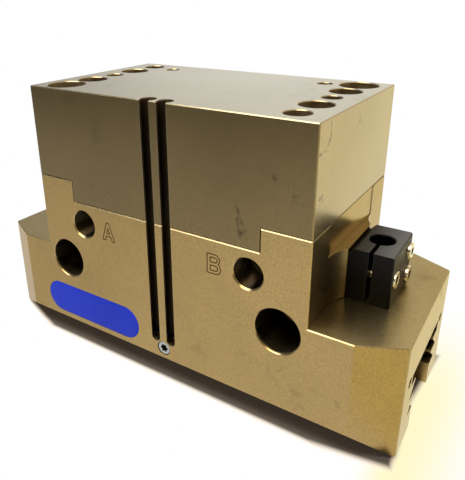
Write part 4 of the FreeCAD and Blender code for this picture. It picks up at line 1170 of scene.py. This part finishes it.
class GRIPPER_OT_studio(bpy.types.Operator):
    """Set the floor, the light, the white room and the camera."""

    bl_idname = "gripper.studio"
    bl_label = "Studio"

    def execute(self, context):
        studio = context.scene.gripper_studio
        add_floor(studio)
        add_light(context.scene, studio)
        white_room(context.scene, studio)
        add_camera(context.scene, studio)
        context.scene.view_settings.view_transform = "Standard"
        return {"FINISHED"}


def beside_foot(axes, studio):
    """Distance of a place on the floor from the edge of the painted shadow, negative inside it.

    The shadow ends at the front, at a slanted line on either side, where it fades over a longer way, and
    along X at the mouth of the guide.
    """
    across = abs(axes["Y"])
    past_left = (across * studio.skew_left - axes["X"] - studio.shadow_left) * studio.slope_left
    past_right = (across * studio.skew_right + axes["X"] - studio.shadow_right) * studio.slope_right
    past_block = abs(axes["X"]) - (across * studio.skew_block + studio.shadow_block)
    return past_left.larger(past_right).larger(past_block).larger(across - BLOCK_HIGH.y)


def mirror_rays(path):
    """1 for rays by way of mirrors or glass alone, and 0 straight from the camera or after a dull surface."""
    shiny = path["Is Glossy Ray"].larger(path["Is Transmission Ray"])
    return shiny * (path["Diffuse Depth"] < 0.5)


def add_floor(studio):
    """A pale floor with a shadow round the object, partly cast and partly painted, and plain beyond it.

    In reflections it is dark under the object, a painted shadow, dims far to the front and gets brighter and
    warmer to the right. For the camera it is white, with a painted pool of warm light beside the right end.
    """
    reach = 6.0
    corners = [(-reach, -reach, 0), (reach, -reach, 0), (reach, reach, 0), (-reach, reach, 0)]
    mesh = bpy.data.meshes.new("floor")
    mesh.from_pydata(corners, [], [(0, 1, 2, 3)])
    floor = bpy.data.objects.new("floor", mesh)
    bpy.context.scene.collection.objects.link(floor)
    material, tree, shader = new_material("Pale floor", 0.0)
    shader.inputs["Roughness"].default_value = 0.7
    shader.inputs["Specular IOR Level"].default_value = 0.1
    axes = split(tree, "ShaderNodeTexCoord", "Object")
    path = Outputs(node(tree, "ShaderNodeLightPath"))
    camera = path["Is Camera Ray"]
    to_right = axes["X"].ramp(*WARM_FLOOR_X)
    bare = beside_foot(axes, studio).ramp(-studio.shadow_near, studio.shadow_far)
    tint = to_right.mix(studio.floor_near, studio.floor_warm)
    # Painted shadow: the floor's colour is dark under the object
    feed(shader.inputs, Base_Color=bare.mix(studio.floor_dark, tint))
    # Painted shadow for the camera: under the object a faint fixed glow in the shade tint stands for the
    # light left there
    plain = (camera * bare.larger(studio.shade_level)).larger(mirror_rays(path))
    level = axes["Y"].ramp(*FRONT_FLOOR_Y, studio.front_dim, 1.0)
    level = level * axes["X"].ramp(*RIGHT_FLOOR_X, *RIGHT_FLOOR_LEVEL)
    level = level * axes["X"].ramp(*LEFT_FLOOR_X, *LEFT_FLOOR_LEVEL)
    # Painted shadow in reflections: the floor is dim under the object
    level = level * bare.ramp(0.0, 1.0, studio.foot_dim, 1.0)
    level = camera.ramp(0.0, 1.0, level, 1.0)
    # Painted pool of warm light on the floor beside the right end, for the camera
    painted_warm_light = axes["X"].ramp(*GLOW_LEFT_X) * axes["X"].ramp(*GLOW_RIGHT_X, 1.0, 0.0)
    painted_warm_light = painted_warm_light * axes["Y"].ramp(*GLOW_BACK_Y, 1.0, 0.0) * axes["Y"].ramp(*GLOW_FRONT_Y)
    warm = camera.ramp(0.0, 1.0, to_right, painted_warm_light)
    bright = bare.mix(studio.floor_shade, warm.mix(WHITE, studio.floor_warm))
    white = read(tree, "ShaderNodeEmission", {"Color": bright, "Strength": level})
    both = read(tree, "ShaderNodeMixShader", {0: plain, 1: Value(shader.outputs[0]), 2: white})
    feed(tree.nodes["Material Output"].inputs, Surface=both)
    mesh.materials.append(material)


def add_light(scene, studio):
    """A square soft box that points at the object and is not seen in reflections."""
    lamp = bpy.data.lights.new("soft_box", "AREA")
    lamp.energy = studio.key_power
    lamp.size = KEY_SIZE
    lamp.color = KEY_TINT
    light = bpy.data.objects.new("soft_box", lamp)
    light.location = KEY_PLACE
    light.rotation_euler = (Vector(KEY_TARGET) - Vector(KEY_PLACE)).to_track_quat("-Z", "Y").to_euler()
    light.visible_glossy = False
    scene.collection.objects.link(light)


def white_room(scene, studio):
    """White for the camera and a plain soft light on dull surfaces.

    In reflections the room dims to the front and the left, is warm to the right, and has a bright window
    above the front.
    """
    world = bpy.data.worlds.new("White room")
    world.use_nodes = True
    scene.world = world
    tree = world.node_tree
    path = Outputs(node(tree, "ShaderNodeLightPath"))
    way = split(tree, "ShaderNodeTexCoord", "Generated")
    mirrored = mirror_rays(path)
    room = (way["X"] - way["Z"] * ROOM_SLANT).ramp(*DIM_ROOM_LEFT, studio.left_dim, 1.0)
    room = room * way["Y"].ramp(*DIM_ROOM_Y, studio.front_dim, 1.0)
    window = way["X"].ramp(*WINDOW_LEFT_X) * way["X"].ramp(*WINDOW_RIGHT_X, 1.0, 0.0)
    window = window * way["Z"].ramp(*WINDOW_LOW_Z) * way["Y"].ramp(*WINDOW_BACK_Y, studio.window, 0.0)
    level = mirrored.ramp(0.0, 1.0, studio.ambient, room + window)
    tint = (way["X"].ramp(*WARM_ROOM_X) * mirrored).mix(WHITE, studio.room_warm)
    feed(tree.nodes["Background"].inputs, Color=tint, Strength=level.larger(path["Is Camera Ray"]))


def add_camera(scene, studio):
    """The camera from its place, its angles and the optical centre in pixels."""
    lens = bpy.data.cameras.new("camera")
    longest = max(IMAGE_WIDTH, IMAGE_HEIGHT)
    lens.lens = studio.focal_pixels * lens.sensor_width / longest
    lens.shift_x = (IMAGE_WIDTH / 2 - studio.centre_u) / longest
    lens.shift_y = (studio.centre_v - IMAGE_HEIGHT / 2) / longest
    lens.clip_start = 0.01
    camera = bpy.data.objects.new("camera", lens)
    turn = Matrix.Rotation(studio.azimuth, 4, "Z") @ Matrix.Rotation(math.pi / 2 - studio.elevation, 4, "X")
    turn = turn @ Matrix.Rotation(studio.roll, 4, "Z")
    camera.matrix_world = Matrix.Translation(studio.camera_place) @ turn
    scene.collection.objects.link(camera)
    scene.camera = camera


OPERATORS = (
    GRIPPER_OT_blocks,
    GRIPPER_OT_bracket,
    GRIPPER_OT_jaws,
    GRIPPER_OT_piston,
    GRIPPER_OT_label,
    GRIPPER_OT_letters,
    GRIPPER_OT_threads,
    GRIPPER_OT_screws,
    GRIPPER_OT_springs,
    GRIPPER_OT_studio,
)


class GRIPPER_PT_looks(bpy.types.Panel):
    """Steps and values of the gripper's looks."""

    bl_label = "Parallel gripper"
    bl_idname = "GRIPPER_PT_looks"
    bl_space_type = "VIEW_3D"
    bl_region_type = "UI"
    bl_category = "Gripper"

    def draw(self, context):
        for operator in OPERATORS:
            self.layout.operator(operator.bl_idname)
        scene = context.scene
        for values in (scene.gripper_finish, scene.gripper_details, scene.gripper_studio):
            box = self.layout.box()
            for name in values.bl_rna.properties.keys():
                if name not in ("rna_type", "name"):
                    box.prop(values, name)


CLASSES = (GripperFinish, GripperDetails, GripperStudio, *OPERATORS, GRIPPER_PT_looks)


def register():
    """Register the classes and hang the properties on the scene."""
    for made in CLASSES:
        bpy.utils.register_class(made)
    bpy.types.Scene.gripper_finish = PointerProperty(type=GripperFinish)
    bpy.types.Scene.gripper_details = PointerProperty(type=GripperDetails)
    bpy.types.Scene.gripper_studio = PointerProperty(type=GripperStudio)


def unregister():
    """Take the properties and the classes away again."""
    del bpy.types.Scene.gripper_finish
    del bpy.types.Scene.gripper_details
    del bpy.types.Scene.gripper_studio
    for made in reversed(CLASSES):
        bpy.utils.unregister_class(made)


def main():
    """Dress the gripper piece by piece."""
    register()
    for operator in OPERATORS:
        family, name = operator.bl_idname.split(".")
        getattr(getattr(bpy.ops, family), name)()


if __name__ == "__main__":
    main()
